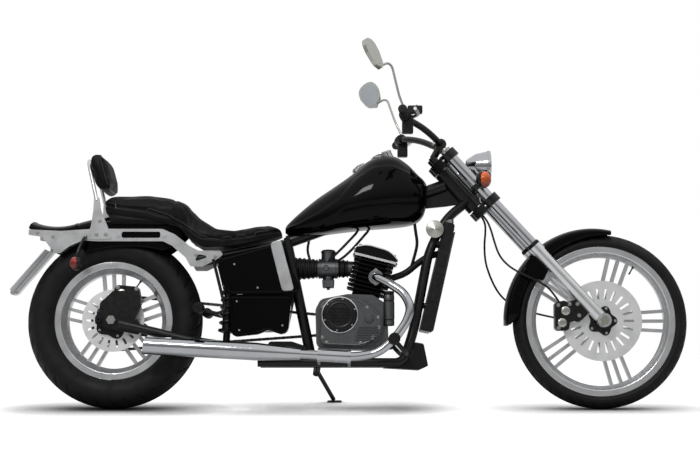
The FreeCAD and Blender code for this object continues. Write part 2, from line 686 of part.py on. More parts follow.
def rounded_square(half_x, half_y, rounding, z_from, z_to):
    corners = [(-half_x, -half_y, rounding), (half_x, -half_y, rounding),
               (half_x, half_y, rounding), (-half_x, half_y, rounding)]
    return plan_plate(corners, z_from, z_to)


def cylinder_envelope():
    """Outer block of the fins, which the intake and the exhaust flange meet."""
    return in_cylinder(rounded_square(FIN_HALF_X, FIN_HALF_Y, 26, 0, HEAD_AT + 40))


def cylinder():
    """Barrel and head with square cooling fins, leaning forward."""
    pieces = [rounded_square(54, 54, 30, -12, HEAD_AT)]
    for i in range(FIN_COUNT):
        low = FIN_START + i * FIN_PITCH
        pieces.append(rounded_square(FIN_HALF_X, FIN_HALF_Y, 26, low, low + FIN_THICKNESS))
    return in_cylinder(fused(pieces))


def rocker_cover():
    """Domed cam cover on top of the head."""
    profile = [(-84, 0, 4), (88, 0, 4), (88, 18, 8), (50, 44, 30), (-40, 48, 20), (-84, 30, 10)]
    dome = side_plate(profile, -66, 66)
    dome.translate(V(0, 0, HEAD_AT))
    return in_cylinder(dome)


INTAKE_HEIGHT = 545.0


def carburettor():
    """Carburettor behind the head with the intake and airbox rubbers."""
    z = INTAKE_HEIGHT
    intake = cone(V(940, 0, z), V(865, 0, z), 28, 32).cut(cylinder_envelope())
    return fused([intake, rod(V(865, 0, z), V(790, 0, z), 38), rod(V(828, 0, z), V(828, 0, 612), 27),
                  rod(V(828, 0, z), V(828, 0, 478), 22), cone(V(790, 0, z), V(691, 0, z), 32, 42)])


def radiator():
    """Tall core ahead of the down tubes, with a header tank above and two brackets a side."""
    core = side_plate([(1277, 694, 6), (1314, 688, 6), (1224, 294, 6), (1183, 302, 6)], -88, 88)
    tank = side_plate([(1270, 690, 4), (1316, 684, 4), (1320, 716, 12), (1284, 722, 12)], -70, 70)
    pieces = [core, tank]
    for side in SIDES:
        for top, z in ((1242, 640), (1188, 400)):
            pieces.append(rod(V(top - 4, side * 58, z), V(top + 34, side * 62, z), 8))
    tubes = frame_down_tubes()
    return fused(pieces).cut(tubes)


def chin_guard():
    """Guard plate under the front of the cradle."""
    plate = side_plate([(1040, 158, 6), (1180, 150, 8), (1212, 165, 6), (1195, 250, 10),
                        (1160, 256, 6), (1150, 200, 20), (1100, 168, 4), (1040, 168, 0)], -92, 92)
    return plate.cut([frame_down_tubes(), frame_lower_rails()])


HORN_BACK = V(1240, -92, 690)


def horn():
    """Round horn on a stub from the right down tube."""
    disc = turned([(0, 0, 0), (27, 0, 0), (34, 8, 3), (34, 14, 3), (0, 24, 0)],
                  HORN_BACK, axis=V(0, -1, 0))
    stub = rod(HORN_BACK + V(0, -1, 0), V(1246, -48, 680), 6)
    return fused([disc, stub]).cut(frame_down_tubes())


COOLANT_ROUTE = ((1262, 0, 604), (1222, 0, 596), (1176, 0, 566), (1130, 0, 526), (1070, 0, 506))
OVERFLOW_ROUTE = ((1164, -40, 724), (1168, -40, 690), (1176, -34, 640), (1164, -14, 590),
                  (1150, 0, 545))


def coolant_hoses():
    """Hose between the tubes from the radiator to the head, with a thin one from the tank."""
    hose = fused([pipe([V(*p) for p in COOLANT_ROUTE], 13), pipe([V(*p) for p in OVERFLOW_ROUTE], 6)])
    return hose.cut([cylinder_envelope(), radiator(), fuel_tank()])


TANK_HOSES = (((992, -34, 712), (984, -36, 690), (920, -40, 616), (884, -32, 584), (850, -16, 566)),
              ((948, -34, 706), (940, -36, 684), (882, -40, 622), (850, -34, 592), (820, -18, 566)),
              ((760, 30, 690), (752, 32, 664), (744, 34, 620), (756, 26, 580), (770, 12, 560)))


def tank_hoses():
    """Fuel and breather hoses from under the tank to the carburettor."""
    return Part.makeCompound([pipe([V(*p) for p in route], 5) for route in TANK_HOSES])


# ---------------------------------------------------------------- tank and panels
TANK_SECTIONS = (  # x, bottom z, top z, half width below, half width above, widest z
    (664, 678, 714, 26, 20, 698),
    (760, 672, 800, 92, 62, 732),
    (880, 690, 884, 132, 84, 772),
    (1000, 702, 980, 148, 84, 800),
    (1092, 708, 986, 138, 78, 812),
    (1170, 720, 926, 104, 66, 815),
    (1208, 784, 900, 62, 46, 838))


def tank_section(x, bottom, top, wide, narrow, waist):
    """Tank cross-section: flat bottom, bulging flanks and a rounded top."""
    height = top - bottom
    below = V(x, wide * 0.62, bottom)
    side = V(x, wide, waist)
    above = V(x, narrow, bottom + height * 0.86)

    def flip(p):
        return V(p.x, -p.y, p.z)
    low = V(x, wide * 0.93, bottom + (waist - bottom) * 0.42)
    high = V(x, (wide + narrow) / 2.0 + wide * 0.10, (waist + above.z) / 2.0)
    edges = [Part.LineSegment(flip(below), below), Part.Arc(below, low, side),
             Part.Arc(side, high, above), Part.Arc(above, V(x, 0, top), flip(above)),
             Part.Arc(flip(above), flip(high), flip(side)), Part.Arc(flip(side), flip(low), flip(below))]
    return Part.Wire([e.toShape() for e in edges])


def fuel_tank():
    """Teardrop tank saddled over the backbone, with its filler cap."""
    body = Part.makeLoft([tank_section(*row) for row in TANK_SECTIONS], True, False)
    half = SPINE + REST_GAP
    slope = (SPINE_FRONT.z - SPINE_REAR.z) / (SPINE_FRONT.x - SPINE_REAR.x)
    rise = half * math.sqrt(1.0 + slope * slope)

    def above_spine(x):
        return SPINE_REAR.z + (x - SPINE_REAR.x) * slope + rise
    tunnel = [(640, 600, 0), (1300, 600, 0), (1300, above_spine(1300), 0), (640, above_spine(640), 0)]
    cap = rod(V(966, 0, 912), V(936, 0, 956), 25)
    body = body.cut(side_plate(tunnel, -half, half))
    return fused([body, cap])


def speedometer():
    """Round dial in a low polished cup on the crest of the tank."""
    axis = unit(V(-0.42, 0, 0.9))
    base = V(1052, 0, 958)
    return rod(base, base + axis * 44, 42)


COVER_INNER = 118.0
COVER_OUTER = 132.0
BOX_HALF = 80.0


def side_covers():
    """Rounded triangular covers on studs, and a lower box on the side away from the chain."""
    cover = [(404, 570, 26), (640, 632, 22), (735, 440, 24), (440, 436, 20)]
    plate = side_plate(cover, COVER_INNER, COVER_OUTER)
    studs = [cross_rod(V(x, 0, z), BOX_HALF, COVER_INNER, 8) for x, z in ((545, 560), (600, 470))]
    upper = fused([plate] + studs)
    box = [(452, 432, 8), (690, 432, 14), (676, 276, 30), (600, 300, 20), (560, 285, 10),
           (462, 274, 20)]
    lower = side_plate(box, -126, -BOX_HALF)
    return Part.makeCompound([upper, mirrored(upper), lower])


def battery_box():
    """Closed box between the seat posts, behind the side covers."""
    return side_plate([(500, 562, 10), (628, 600, 10), (697, 440, 6), (668, 300, 10), (500, 300, 10)],
                      -BOX_HALF, BOX_HALF)


# ---------------------------------------------------------------- exhaust, pegs
HEADER_PATH = ((1012, -70, 506), (1012, -108, 506), (1060, -136, 480), (1118, -158, 440),
               (1144, -172, 384), (1128, MUFFLER_Y, 330), (1084, MUFFLER_Y, 268),
               (1020, MUFFLER_Y, 212), (930, MUFFLER_Y, 196), (716, MUFFLER_Y, 208))
MUFFLER_BACK = V(100, MUFFLER_Y, 243)
SHIELD_ENDS = (790.0, 916.0)
MUFFLER_WALL = 4.0
MUFFLER_TAPER_AT = 460.0           # where the entry taper starts, from the outlet end
BAFFLE_AT = 160.0
CLAMP_BAND = 12.0


def exhaust_header():
    """Bent pipe from the head flange down and back to the muffler."""
    tube = pipe([V(*p) for p in HEADER_PATH], PIPE_RADIUS)
    flange = cross_rod(V(1012, 0, 506), -70, -FIN_HALF_Y - 9, 28)
    return fused([tube, flange]).cut(cylinder_envelope())


def muffler():
    """Straight silencer with a tapered entry and an open slanting outlet."""
    front = V(*HEADER_PATH[-1])
    along = unit(front - MUFFLER_BACK)
    length = (front - MUFFLER_BACK).Length
    inner = MUFFLER_RADIUS - MUFFLER_WALL
    seat = PIPE_RADIUS + REST_GAP
    rows = [(inner, 0, 0), (MUFFLER_RADIUS, 0, 0), (MUFFLER_RADIUS, MUFFLER_TAPER_AT, 20),
            (seat + MUFFLER_WALL, length + 10, 0), (seat, length + 10, 0), (seat, length - 10, 0),
            (0, length - 10, 0), (0, BAFFLE_AT, 0), (inner, BAFFLE_AT, 0)]
    can = turned(rows, MUFFLER_BACK, axis=along, outward=unit(along.cross(LEFT)))
    slash = side_plate([(60, 180, 0), (124, 180, 0), (146, 300, 0), (60, 300, 0)],
                       MUFFLER_Y - 60, MUFFLER_Y + 60)
    return can.cut([slash, pipe([V(*p) for p in HEADER_PATH[-3:]], PIPE_RADIUS)])


def heat_shield():
    """Sleeve round the pipe ahead of the silencer, with a clamp band at each end."""
    a, b = V(*HEADER_PATH[-2]), V(*HEADER_PATH[-1])
    along = unit(b - a)
    start, end = [a + along * ((a.x - x) / abs(along.x)) for x in reversed(SHIELD_ENDS)]
    pieces = [rod(start, end, SHIELD_RADIUS)]
    for at in (start, end - along * CLAMP_BAND):
        pieces.append(rod(at, at + along * CLAMP_BAND, SHIELD_RADIUS + 3))
        pieces.append(box_at(at + along * CLAMP_BAND / 2.0 + V(0, 0, -SHIELD_RADIUS - 6), 10, 14, 14))
    sleeve = fused(pieces)
    return sleeve.cut(rod(start - along * 20, end + along * 20, PIPE_RADIUS))


PEG_AT = V(1077, 0, 261)
REAR_PEG_AT = V(341, 0, 381)
PEG_RADIUS = 20.0
REAR_PEG_RADIUS = 18.0


def footpegs():
    """Rider's forward pegs on arms round the exhaust, and passenger pegs behind."""
    pieces = []
    for side in SIDES:
        arm = pipe([V(1128, side * 92, 205), V(1126, side * 190, 208), V(1108, side * 228, 226),
                    V(1077, side * 236, 261)], 9)
        peg = cross_rod(PEG_AT, side * 232, side * 330, PEG_RADIUS)
        pieces.append(fused([arm, peg]))
        arm = pipe([V(388, side * 119, 572), V(437, side * 125, 380), V(410, side * 132, 362),
                    V(341, side * 142, 381)], 6)
        peg = cross_rod(REAR_PEG_AT, side * 136, side * 236, REAR_PEG_RADIUS)
        pieces.append(fused([arm, peg]))
    rigid = [frame_down_tubes(), frame_lower_rails(), frame_seat_posts()]
    return Part.makeCompound([piece.cut(rigid) for piece in pieces])


# ---------------------------------------------------------------- steering
CLAMP_BOSS_WALL = 11.0
STEM_BOSS_RADIUS = 34.0


def clamp(at, ahead_reach):
    """Triple clamp: three bosses joined by a web, square to the fork legs."""
    pieces = []
    for side in SIDES:
        low = on_leg(at, side)
        pieces.append(rod(low, low + FORK_UP * CLAMP_THICKNESS, STANCHION_RADIUS + CLAMP_BOSS_WALL))
    low = on_steering(at)
    pieces.append(rod(low, low + FORK_UP * CLAMP_THICKNESS, STEM_BOSS_RADIUS))
    middle = on_steering(at, ahead_reach)
    web = [middle + LEFT * y + FORK_AHEAD * x for x, y in
           ((-28, -46), (26, -FORK_HALF_TRACK), (62, -FORK_HALF_TRACK), (48, 0),
            (62, FORK_HALF_TRACK), (26, FORK_HALF_TRACK), (-28, 46))]
    loop = rounded_loop(web, [12, 12, 8, 60, 8, 12, 12])
    pieces.append(Part.Face(loop).extrude(FORK_UP * CLAMP_THICKNESS))
    block = fused(pieces)
    holes = [rod(on_leg(at - 5, side), on_leg(at + CLAMP_THICKNESS + 5, side), STANCHION_RADIUS)
             for side in SIDES]
    return block.cut(holes)


def fork_clamps():
    """Upper and lower clamps on the steering stem."""
    stem = rod(on_steering(LOWER_CLAMP_AT), on_steering(UPPER_CLAMP_AT + CLAMP_THICKNESS + 12),
               STEM_RADIUS)
    return fused([clamp(LOWER_CLAMP_AT, 0), clamp(UPPER_CLAMP_AT, 0), stem])


def fork_tubes():
    """Stanchions from the sliders' mouths to the upper clamp."""
    return pair(rod(on_leg(SLIDER_LENGTH, 1), on_leg(FORK_LENGTH, 1), STANCHION_RADIUS))


def fork_sliders():
    """Lower legs with a dust-seal collar, a lower taper and the axle boss."""
    pieces = [rod(on_leg(20, 1), on_leg(SLIDER_LENGTH - 30, 1), SLIDER_RADIUS),
              rod(on_leg(SLIDER_LENGTH - 30, 1), on_leg(SLIDER_LENGTH, 1), SLIDER_RADIUS + 3),
              cross_rod(FRONT_AXLE, FORK_HALF_TRACK - 23, FORK_HALF_TRACK + 23, 27)]
    leg = fused(pieces).cut(cross_rod(FRONT_AXLE, 60, 140, AXLE_RADIUS))
    return pair(leg)


def front_fender():
    """Long close-fitting guard round the back of the tyre, held by side plates to the sliders."""
    size = FRONT_FENDER
    skin = fender_arc(FRONT_AXLE, size["top"], size["top"] - size["skirt"], size["half"],
                      size["start"], size["end"])
    plate = [(-295, 560, 12), (-245, 600, 12), (-195, 560, 10), (-225, 492, 12), (-285, 505, 12)]
    stays = []
    for side in SIDES:
        reach = sorted((side * (size["half"] - 0.5), side * 76))
        stays.append(side_plate(from_front(plate), *reach))
    sliders = [rod(on_leg(20, side), on_leg(SLIDER_LENGTH, side), SLIDER_RADIUS) for side in SIDES]
    return fused([skin] + [stay.cut(sliders) for stay in stays])


def front_caliper():
    """Two-piston caliper on a lug behind the right slider, straddling the disc."""
    casing = [(-185, 300, 14), (-133, 300, 14), (-117, 392, 14), (-147, 416, 10), (-185, 408, 14)]
    body = side_plate(from_front(casing), -92, -44)
    ear = [(-145, 330, 8), (-85, 338, 8), (-49, 372, 4), (-70, 430, 8), (-140, 408, 8)]
    lug = side_plate(from_front(ear), -90, -76)
    slot = cross_rod(FRONT_AXLE, FRONT_DISC_Y - MOVING_GAP, FRONT_DISC_Y + DISC_THICKNESS + MOVING_GAP,
                     FRONT_DISC["radius"] + MOVING_GAP)
    slider = rod(on_leg(-20, -1), on_leg(SLIDER_LENGTH, -1), SLIDER_RADIUS)
    return fused([body, lug]).cut([slot, slider])


def rear_caliper():
    """Caliper over the rear disc on its bracket round the axle, inside the swingarm plate."""
    body = side_plate([(-8, 420, 12), (14, 476, 14), (98, 468, 14), (112, 400, 14), (60, 384, 20)],
                      -94, -44)
    arm = side_plate([(-52, 330, 12), (-46, 404, 12), (4, 452, 10), (98, 452, 10), (112, 392, 12),
                      (84, 330, 16), (20, 300, 20), (-20, 300, 16)], -106, -86)
    slot = cross_rod(REAR_AXLE, REAR_DISC_Y - MOVING_GAP, REAR_DISC_Y + DISC_THICKNESS + MOVING_GAP,
                     REAR_DISC["radius"] + MOVING_GAP)
    spacer = cross_rod(REAR_AXLE, -107, -60, SPACER_RADIUS)
    return fused([body, arm]).cut([slot, spacer])


HEADLIGHT = V(WHEELBASE - 423, 0, 950)
HEADLIGHT_RADIUS = 58.0


def headlight():
    """Small bucket on a stem from the lower clamp."""
    shell = turned([(0, 0, 0), (24, 4, 8), (48, 40, 20), (HEADLIGHT_RADIUS, 84, 6),
                    (HEADLIGHT_RADIUS, 96, 2), (50, 96, 0), (50, 90, 0), (0, 90, 0)],
                   HEADLIGHT - V(96, 0, 0), axis=FORWARD, outward=UP)
    arm = [(-459, 806, 6), (-423, 806, 6), (-445, 905, 8), (-477, 905, 8)]
    bracket = side_plate(from_front(arm), -20, 20)
    return fused([shell, bracket.cut(fork_clamps())])


def headlight_lens():
    """Domed glass seated in the bucket's rim."""
    return turned([(0, -5.8, 0), (49.8, -5.8, 0), (49.8, 0, 0), (0, 9, 0)], HEADLIGHT,
                  axis=FORWARD, outward=UP)


def front_signals():
    """Signal pods on stems from collars round the fork tubes."""
    core = rod(on_leg(690, 1), on_leg(722, 1), STANCHION_RADIUS)
    collar = rod(on_leg(694, 1), on_leg(718, 1), 27).cut(core)
    middle = on_leg(706, 1)
    pod = V(WHEELBASE - 465, 172, 866)
    stem = rod(middle + LEFT * 24, pod, 7)
    body = rod(pod + V(-25, 16, 5), pod + V(38, 16, 5), 36)
    return pair(fused([collar, stem, body]))


BAR_RADIUS = 12.7
BAR_FOOT = on_steering(UPPER_CLAMP_AT + CLAMP_THICKNESS, 6)
BAR_PATH = ((16, 0, 72), (16, 60, 72), (-52, 142, 118), (-124, 232, 142), (-146, 425, 144))
GRIP_LENGTH = 118.0
GRIP_RADIUS = 17.0


def bar_points():
    side = [BAR_FOOT + V(*p) for p in BAR_PATH[1:]]
    return [V(p.x, -p.y, p.z) for p in reversed(side)] + side


def handlebar():
    """Pulled-back bar with its two risers on the upper clamp."""
    pieces = [pipe(bar_points(), BAR_RADIUS)]
    for side in SIDES:
        foot = BAR_FOOT + LEFT * (side * 40)
        middle = BAR_FOOT + V(*BAR_PATH[0])
        pieces.append(rod(foot, foot + FORK_UP * 30, 15))
        pieces.append(rod(foot + FORK_UP * 22, middle + LEFT * (side * 40), 13))
        pieces.append(rod(middle + LEFT * (side * 25), middle + LEFT * (side * 55), 22))
    return fused(pieces)


def grip_axis():
    points = bar_points()
    return points[-1], unit(points[-1] - points[-2])


def grips():
    end, along = grip_axis()
    sleeve = rod(end - along * GRIP_LENGTH, end + along * 4, GRIP_RADIUS)
    core = pipe(bar_points(), BAR_RADIUS + REST_GAP)
    return pair(sleeve.cut(core))


def hand_controls():
    """Switch block and lever clamp inboard of each grip, reservoir on the right."""
    end, along = grip_axis()
    pieces = []
    start = end - along * GRIP_LENGTH
    core = pipe(bar_points(), BAR_RADIUS + REST_GAP)
    for side in SIDES:
        block = fused([rod(start - along * 38, start, 23), rod(start - along * 62, start - along * 37, 20)])
        reservoir = box_at(V(0, 0, 0), 56, 34, 30, 5)
        reservoir.translate(start - along * 51 + V(34, 0, 28))
        switches = box_at(V(0, 0, 0), 42, 34, 70, 5)
        switches.translate(start - along * 22 + V(8, 0, -34))
        block = fused([block, reservoir, switches] if side < 0 else [block, switches])
        block = block.cut(core)
        pieces.append(mirrored(block) if side < 0 else block)
    return Part.makeCompound(pieces)


def levers():
    """Clutch and brake levers ahead of the grips."""
    end, along = grip_axis()
    start = end - along * (GRIP_LENGTH + 53)
    ahead = unit(V(-along.y, along.x, 0)) * -1.0
    if ahead.x < 0:
        ahead = ahead * -1.0
    pivot = start + ahead * 26
    tip = end + ahead * 46 - along * 4
    middle = start + along * 50 + ahead * 52
    lever = pipe([pivot, middle, tip], 6)
    boss = rod(start + ahead * 20.5, pivot, 9)
    return pair(fused([lever, boss]))


MIRROR_CENTRE = BAR_FOOT + V(-252, 400, 352)
MIRROR_ELBOW = V(-186, 350, 336)
MIRRORS = (                        # side, way the glass faces, way to the top of the oval
    (-1, V(-0.79, 0.50, -0.36), V(-0.415, 0.0, 0.91)),
    (1, V(-0.52, -0.83, 0.19), V(-0.5, 0.12, 0.86)))
MIRROR_OUTLINE = ((-62, 0, 10), (-40, -34, 30), (10, -46, 40), (58, -40, 34), (66, 0, 40),
                  (58, 40, 34), (10, 46, 40), (-40, 34, 30))


def mirrors():
    """Oval mirrors on thin cranked stems from the lever clamps."""
    end, along = grip_axis()
    root = end - along * (GRIP_LENGTH + 49) + UP * 20.2
    pieces = []
    for side, facing, top in MIRRORS:
        centre = V(MIRROR_CENTRE.x, side * MIRROR_CENTRE.y, MIRROR_CENTRE.z)
        facing = unit(facing)
        top = unit(top - facing * top.dot(facing))
        wide = facing.cross(top)
        back = centre - facing * 7
        loop = rounded_loop([back + top * a + wide * b for a, b, r in MIRROR_OUTLINE],
                            [r for a, b, r in MIRROR_OUTLINE])
        shell = Part.Face(loop).extrude(facing * 14)
        foot = V(root.x, side * root.y, root.z)
        elbow = BAR_FOOT + V(MIRROR_ELBOW.x, side * MIRROR_ELBOW.y, MIRROR_ELBOW.z)
        neck = centre - top * 50
        stem = pipe([foot, foot + V(-24, side * 8, 52), elbow, neck], 4.5)
        pieces.append(fused([shell, stem, rod(neck - facing * 12, neck, 9)]))
    return Part.makeCompound(pieces)


BRAKE_HOSE = ((-454, -25, 752.7), (-438, -26, 735), (-423, -38, 696), (-412, -56, 646),
              (-397, -72, 594), (-371, -84, 558), (-335, -95, 530), (-290, -100, 508),
              (-241, -98, 486), (-197, -88, 456), (-167, -70, 412.5))
SPEEDO_CABLE = ((-454, 25, 752.7), (-440, 27, 733), (-437, 38, 696), (-442, 50, 644),
                (-438, 61, 580), (-424, 68, 534), (-405, 76, 490), (-381, 82, 450),
                (-347, 88, 418), (-305, 92, 396), (-255, 93, 380), (-203, 92, 367),
                (-151, 88, 356), (-103, 80, 348), (-63, 72, 343), (-29.8, 68, 339.5))
HOSE_RADIUS = 4.0


def cord(points, radius):
    """Plain tube of a hose or cable; its bend radii and length are printed."""
    route = [V(*p) for p in from_front(points)]
    wire, radii = path_wire(route)
    tube = pipe(route, radius)
    share = tube.Volume / (math.pi * radius * radius * wire.Length)
    print("cord length %.0f mm, bends %s, volume share %.3f"
          % (wire.Length, [round(r) for r in radii], share))
    return tube


# ---------------------------------------------------------------- side stand
def ground_at(x, y):
    """Point of the leaned machine's ground plane, in the upright frame."""
    return V(x, y, y * math.tan(lean))


def side_stand():
    """Leg from a pivot under the left rail to a foot that lies flat on the ground."""
    foot = ground_at(846, 268)
    across = unit(V(0, math.cos(lean), math.sin(lean)))
    normal = unit(V(0, -math.sin(lean), math.cos(lean)))
    sole = [foot + FORWARD * x + across * y for x, y in ((-26, -16), (30, -18), (34, 22), (-22, 24))]
    pad = Part.Face(rounded_loop(sole, [10] * 4)).extrude(normal * 6)
    floor = Part.makeBox(600, 600, 100, V(-300, -300, -100))
    floor.rotate(V(0, 0, 0), FORWARD, LEAN)
    floor.translate(foot)
    leg = rod(STAND_PIVOT, foot + normal * 12, 8.8).cut(floor)
    boss = rod(STAND_PIVOT - STAND_AXIS * 9, STAND_PIVOT + STAND_AXIS * 9, 14)
    stand = fused([pad, leg, boss])
    return stand.cut(rod(STAND_PIVOT - STAND_AXIS * 12, STAND_PIVOT + STAND_AXIS * 12,
                         STAND_PIN + BEARING_GAP))


# ---------------------------------------------------------------- chain
CHAIN_HEIGHT = 14.0
CHAIN_WIDTH = 16.0
DRIVE_SPROCKET_RADIUS = 30.0
CHAIN_GAP = 2.0                    # from the sprockets' tips to the band


def drive_chain():
    """Chain loop on the left, its side plates straddling the sprocket teeth."""
    small = COUNTERSHAFT
    middle = SPROCKET_Y + SPROCKET["thickness"] / 2.0

    def loop(grow):
        big = SPROCKET["radius"] + CHAIN_GAP + grow
        little = DRIVE_SPROCKET_RADIUS + CHAIN_GAP + grow
        gap = small - REAR_AXLE
        tilt = math.atan2(gap.z, gap.x)
        lift = math.acos((big - little) / gap.Length)
        tangents = []
        for sign in (1, -1):
            direction = V(math.cos(tilt + sign * lift), 0, math.sin(tilt + sign * lift))
            tangents.append((REAR_AXLE + direction * big, small + direction * little))
        (top_back, top_front), (low_back, low_front) = tangents
        nose = small + unit(gap) * little
        heel = REAR_AXLE - unit(gap) * big
        edges = [Part.LineSegment(top_back, top_front), Part.Arc(top_front, nose, low_front),
                 Part.LineSegment(low_front, low_back), Part.Arc(low_back, heel, top_back)]
        return Part.Face(Part.Wire([e.toShape() for e in edges]))
    across = LEFT * CHAIN_WIDTH
    band = loop(CHAIN_HEIGHT).extrude(across).cut(loop(0).extrude(across))
    band.translate(LEFT * (middle - CHAIN_WIDTH / 2.0))
    small_sprocket = cross_rod(small, WELL_FLOOR, middle + SPROCKET["thickness"] / 2.0,
                               DRIVE_SPROCKET_RADIUS)
    return fused([band, small_sprocket])


# ---------------------------------------------------------------- assembly
PIECES = {
    "frame_backbone": frame_backbone, "frame_down_tubes": frame_down_tubes,
    "frame_lower_rails": frame_lower_rails, "frame_seat_posts": frame_seat_posts,
    "swingarm": swingarm, "shock_absorber": shock_absorber,
    "rear_axle": lambda: axle_shaft(REAR_AXLE, REAR_ENDS), "front_axle": front_axle,
    "rear_fender": rear_fender, "fender_rails": fender_rails, "backrest_frame": backrest_frame,
    "backrest_pad": backrest_pad, "seat": seat, "rear_lamps": rear_lamps,
    "number_plate_bracket": number_plate_bracket, "crankcase": crankcase,
    "engine_covers": engine_covers, "cylinder": cylinder, "rocker_cover": rocker_cover,
    "carburettor": carburettor, "radiator": radiator, "chin_guard": chin_guard, "horn": horn,
    "coolant_hoses": coolant_hoses, "fuel_tank": fuel_tank, "speedometer": speedometer,
    "side_covers": side_covers, "battery_box": battery_box, "exhaust_header": exhaust_header,
    "muffler": muffler, "heat_shield": heat_shield, "tank_hoses": tank_hoses,
    "footpegs": footpegs, "drive_chain": drive_chain, "rear_caliper": rear_caliper,
    "fork_clamps": fork_clamps, "fork_tubes": fork_tubes, "fork_sliders": fork_sliders,
    "front_fender": front_fender, "front_caliper": front_caliper, "headlight": headlight,
    "headlight_lens": headlight_lens, "front_signals": front_signals, "handlebar": handlebar,
    "grips": grips, "hand_controls": hand_controls, "levers": levers, "mirrors": mirrors,
    "brake_hose": lambda: cord(BRAKE_HOSE, HOSE_RADIUS),
    "speedometer_cable": lambda: cord(SPEEDO_CABLE, HOSE_RADIUS),
    "front_tyre": lambda: tyre(FRONT_AXLE, FRONT_TYRE, FRONT_RIM),
    "front_wheel_casting": lambda: cast_wheel(FRONT_AXLE, FRONT_RIM, FRONT_HUB, FRONT_SPOKES),
    "front_disc": lambda: slotted_disc(FRONT_AXLE, FRONT_DISC, FRONT_DISC_Y,
                                       FRONT_DISC_Y + DISC_THICKNESS),
    "rear_tyre": lambda: tyre(REAR_AXLE, REAR_TYRE, REAR_RIM),
    "rear_wheel_casting": lambda: cast_wheel(REAR_AXLE, REAR_RIM, REAR_HUB, REAR_SPOKES),
    "rear_disc": lambda: slotted_disc(REAR_AXLE, REAR_DISC, REAR_DISC_Y,
                                      REAR_DISC_Y + DISC_THICKNESS),
    "rear_sprocket": lambda: toothed_wheel(REAR_AXLE, SPROCKET, SPROCKET_Y),
    "side_stand": side_stand,
}
CORDS = ("brake_hose", "speedometer_cable")

# Pieces of one body that meet: the first is trimmed to the faces of the others.
TRIMMED = (
    ("rear_lamps", ("fender_rails", "number_plate_bracket")),
    ("brake_hose", ("fork_clamps", "front_caliper")),
    ("speedometer_cable", ("fork_clamps", "front_axle")),
    ("footpegs", ("fender_rails",)),
    ("battery_box", ("frame_seat_posts",)),
    ("radiator", ("frame_down_tubes",)),
    ("frame_seat_posts", ("swingarm",)),
    ("frame_down_tubes", ("frame_backbone", "frame_lower_rails")),
    ("frame_seat_posts", ("frame_backbone", "frame_lower_rails")),
    ("shock_absorber", ("swingarm", "frame_seat_posts")),
    ("cylinder", ("crankcase",)),
    ("speedometer", ("fuel_tank",)),
    ("mirrors", ("hand_controls",)),
    ("front_caliper", ("fork_sliders",)),
    ("drive_chain", ("crankcase",)),
    ("rear_caliper", ("swingarm",)),
    ("heat_shield", ("exhaust_header",)),
    ("tank_hoses", ("fuel_tank", "carburettor")),
)


def build():
    """Makes and trims every piece, leans the machine over, centres it and writes the files."""
    shapes = {name: make() for name, make in PIECES.items()}
    for name, others in TRIMMED:
        shapes[name] = shapes[name].cut([shapes[other] for other in others])
    for shape in shapes.values():
        shape.rotate(V(0, 0, 0), FORWARD, -LEAN)
    solid = Part.makeCompound([shape for name, shape in shapes.items() if name not in CORDS])
    box = solid.optimalBoundingBox(False, False)
    shift = V(-(box.XMin + box.XMax) / 2.0, -(box.YMin + box.YMax) / 2.0, -box.ZMin)
    print("size %.1f x %.1f x %.1f, moved by %.3f %.3f %.3f"
          % (box.XLength, box.YLength, box.ZLength, shift.x, shift.y, shift.z))
    os.makedirs("parts", exist_ok=True)
    for name, shape in shapes.items():
        shape.translate(shift)
        shape.exportStep("parts/%s.step" % name)


if __name__ == "__main__":
    build()
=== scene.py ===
"""Long-fork cruiser motorcycle on its side stand: surfaces, finishes, lights and camera.

Shapes are worked out on the upright machine in millimetres: X forward from the rear axle, Y to the
rider's left and Z up from the ground.  set_down() leans them onto the stand, in metres.
"""
import json
import math
import bmesh
import bpy
import numpy as np
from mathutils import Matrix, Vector

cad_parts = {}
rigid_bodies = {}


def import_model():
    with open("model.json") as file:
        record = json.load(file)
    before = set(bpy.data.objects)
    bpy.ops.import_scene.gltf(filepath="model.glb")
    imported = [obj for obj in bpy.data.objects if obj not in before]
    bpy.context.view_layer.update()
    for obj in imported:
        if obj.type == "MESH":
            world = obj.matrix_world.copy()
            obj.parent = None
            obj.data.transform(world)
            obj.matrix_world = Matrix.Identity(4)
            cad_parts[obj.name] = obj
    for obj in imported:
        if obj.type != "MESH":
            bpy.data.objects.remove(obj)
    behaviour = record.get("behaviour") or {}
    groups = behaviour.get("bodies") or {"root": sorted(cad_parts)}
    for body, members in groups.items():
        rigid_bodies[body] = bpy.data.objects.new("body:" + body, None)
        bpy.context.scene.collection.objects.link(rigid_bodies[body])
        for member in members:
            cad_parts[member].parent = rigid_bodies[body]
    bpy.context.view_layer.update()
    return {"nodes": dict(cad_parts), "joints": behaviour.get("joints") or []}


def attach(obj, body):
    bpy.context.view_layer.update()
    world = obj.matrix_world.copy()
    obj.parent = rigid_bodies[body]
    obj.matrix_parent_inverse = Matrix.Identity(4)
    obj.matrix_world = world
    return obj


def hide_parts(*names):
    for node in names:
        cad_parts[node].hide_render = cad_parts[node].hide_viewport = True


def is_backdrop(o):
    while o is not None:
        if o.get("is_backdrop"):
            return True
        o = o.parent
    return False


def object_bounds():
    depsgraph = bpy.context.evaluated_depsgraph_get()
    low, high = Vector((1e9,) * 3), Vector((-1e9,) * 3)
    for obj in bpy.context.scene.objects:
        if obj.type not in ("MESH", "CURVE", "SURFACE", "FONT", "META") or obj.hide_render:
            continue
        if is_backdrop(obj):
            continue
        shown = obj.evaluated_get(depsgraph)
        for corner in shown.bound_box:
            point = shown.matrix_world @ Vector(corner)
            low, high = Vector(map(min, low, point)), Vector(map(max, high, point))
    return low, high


for leftover in list(bpy.data.objects):
    bpy.data.objects.remove(leftover)
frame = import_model()
NODES = frame["nodes"]
SCENE = bpy.context.scene
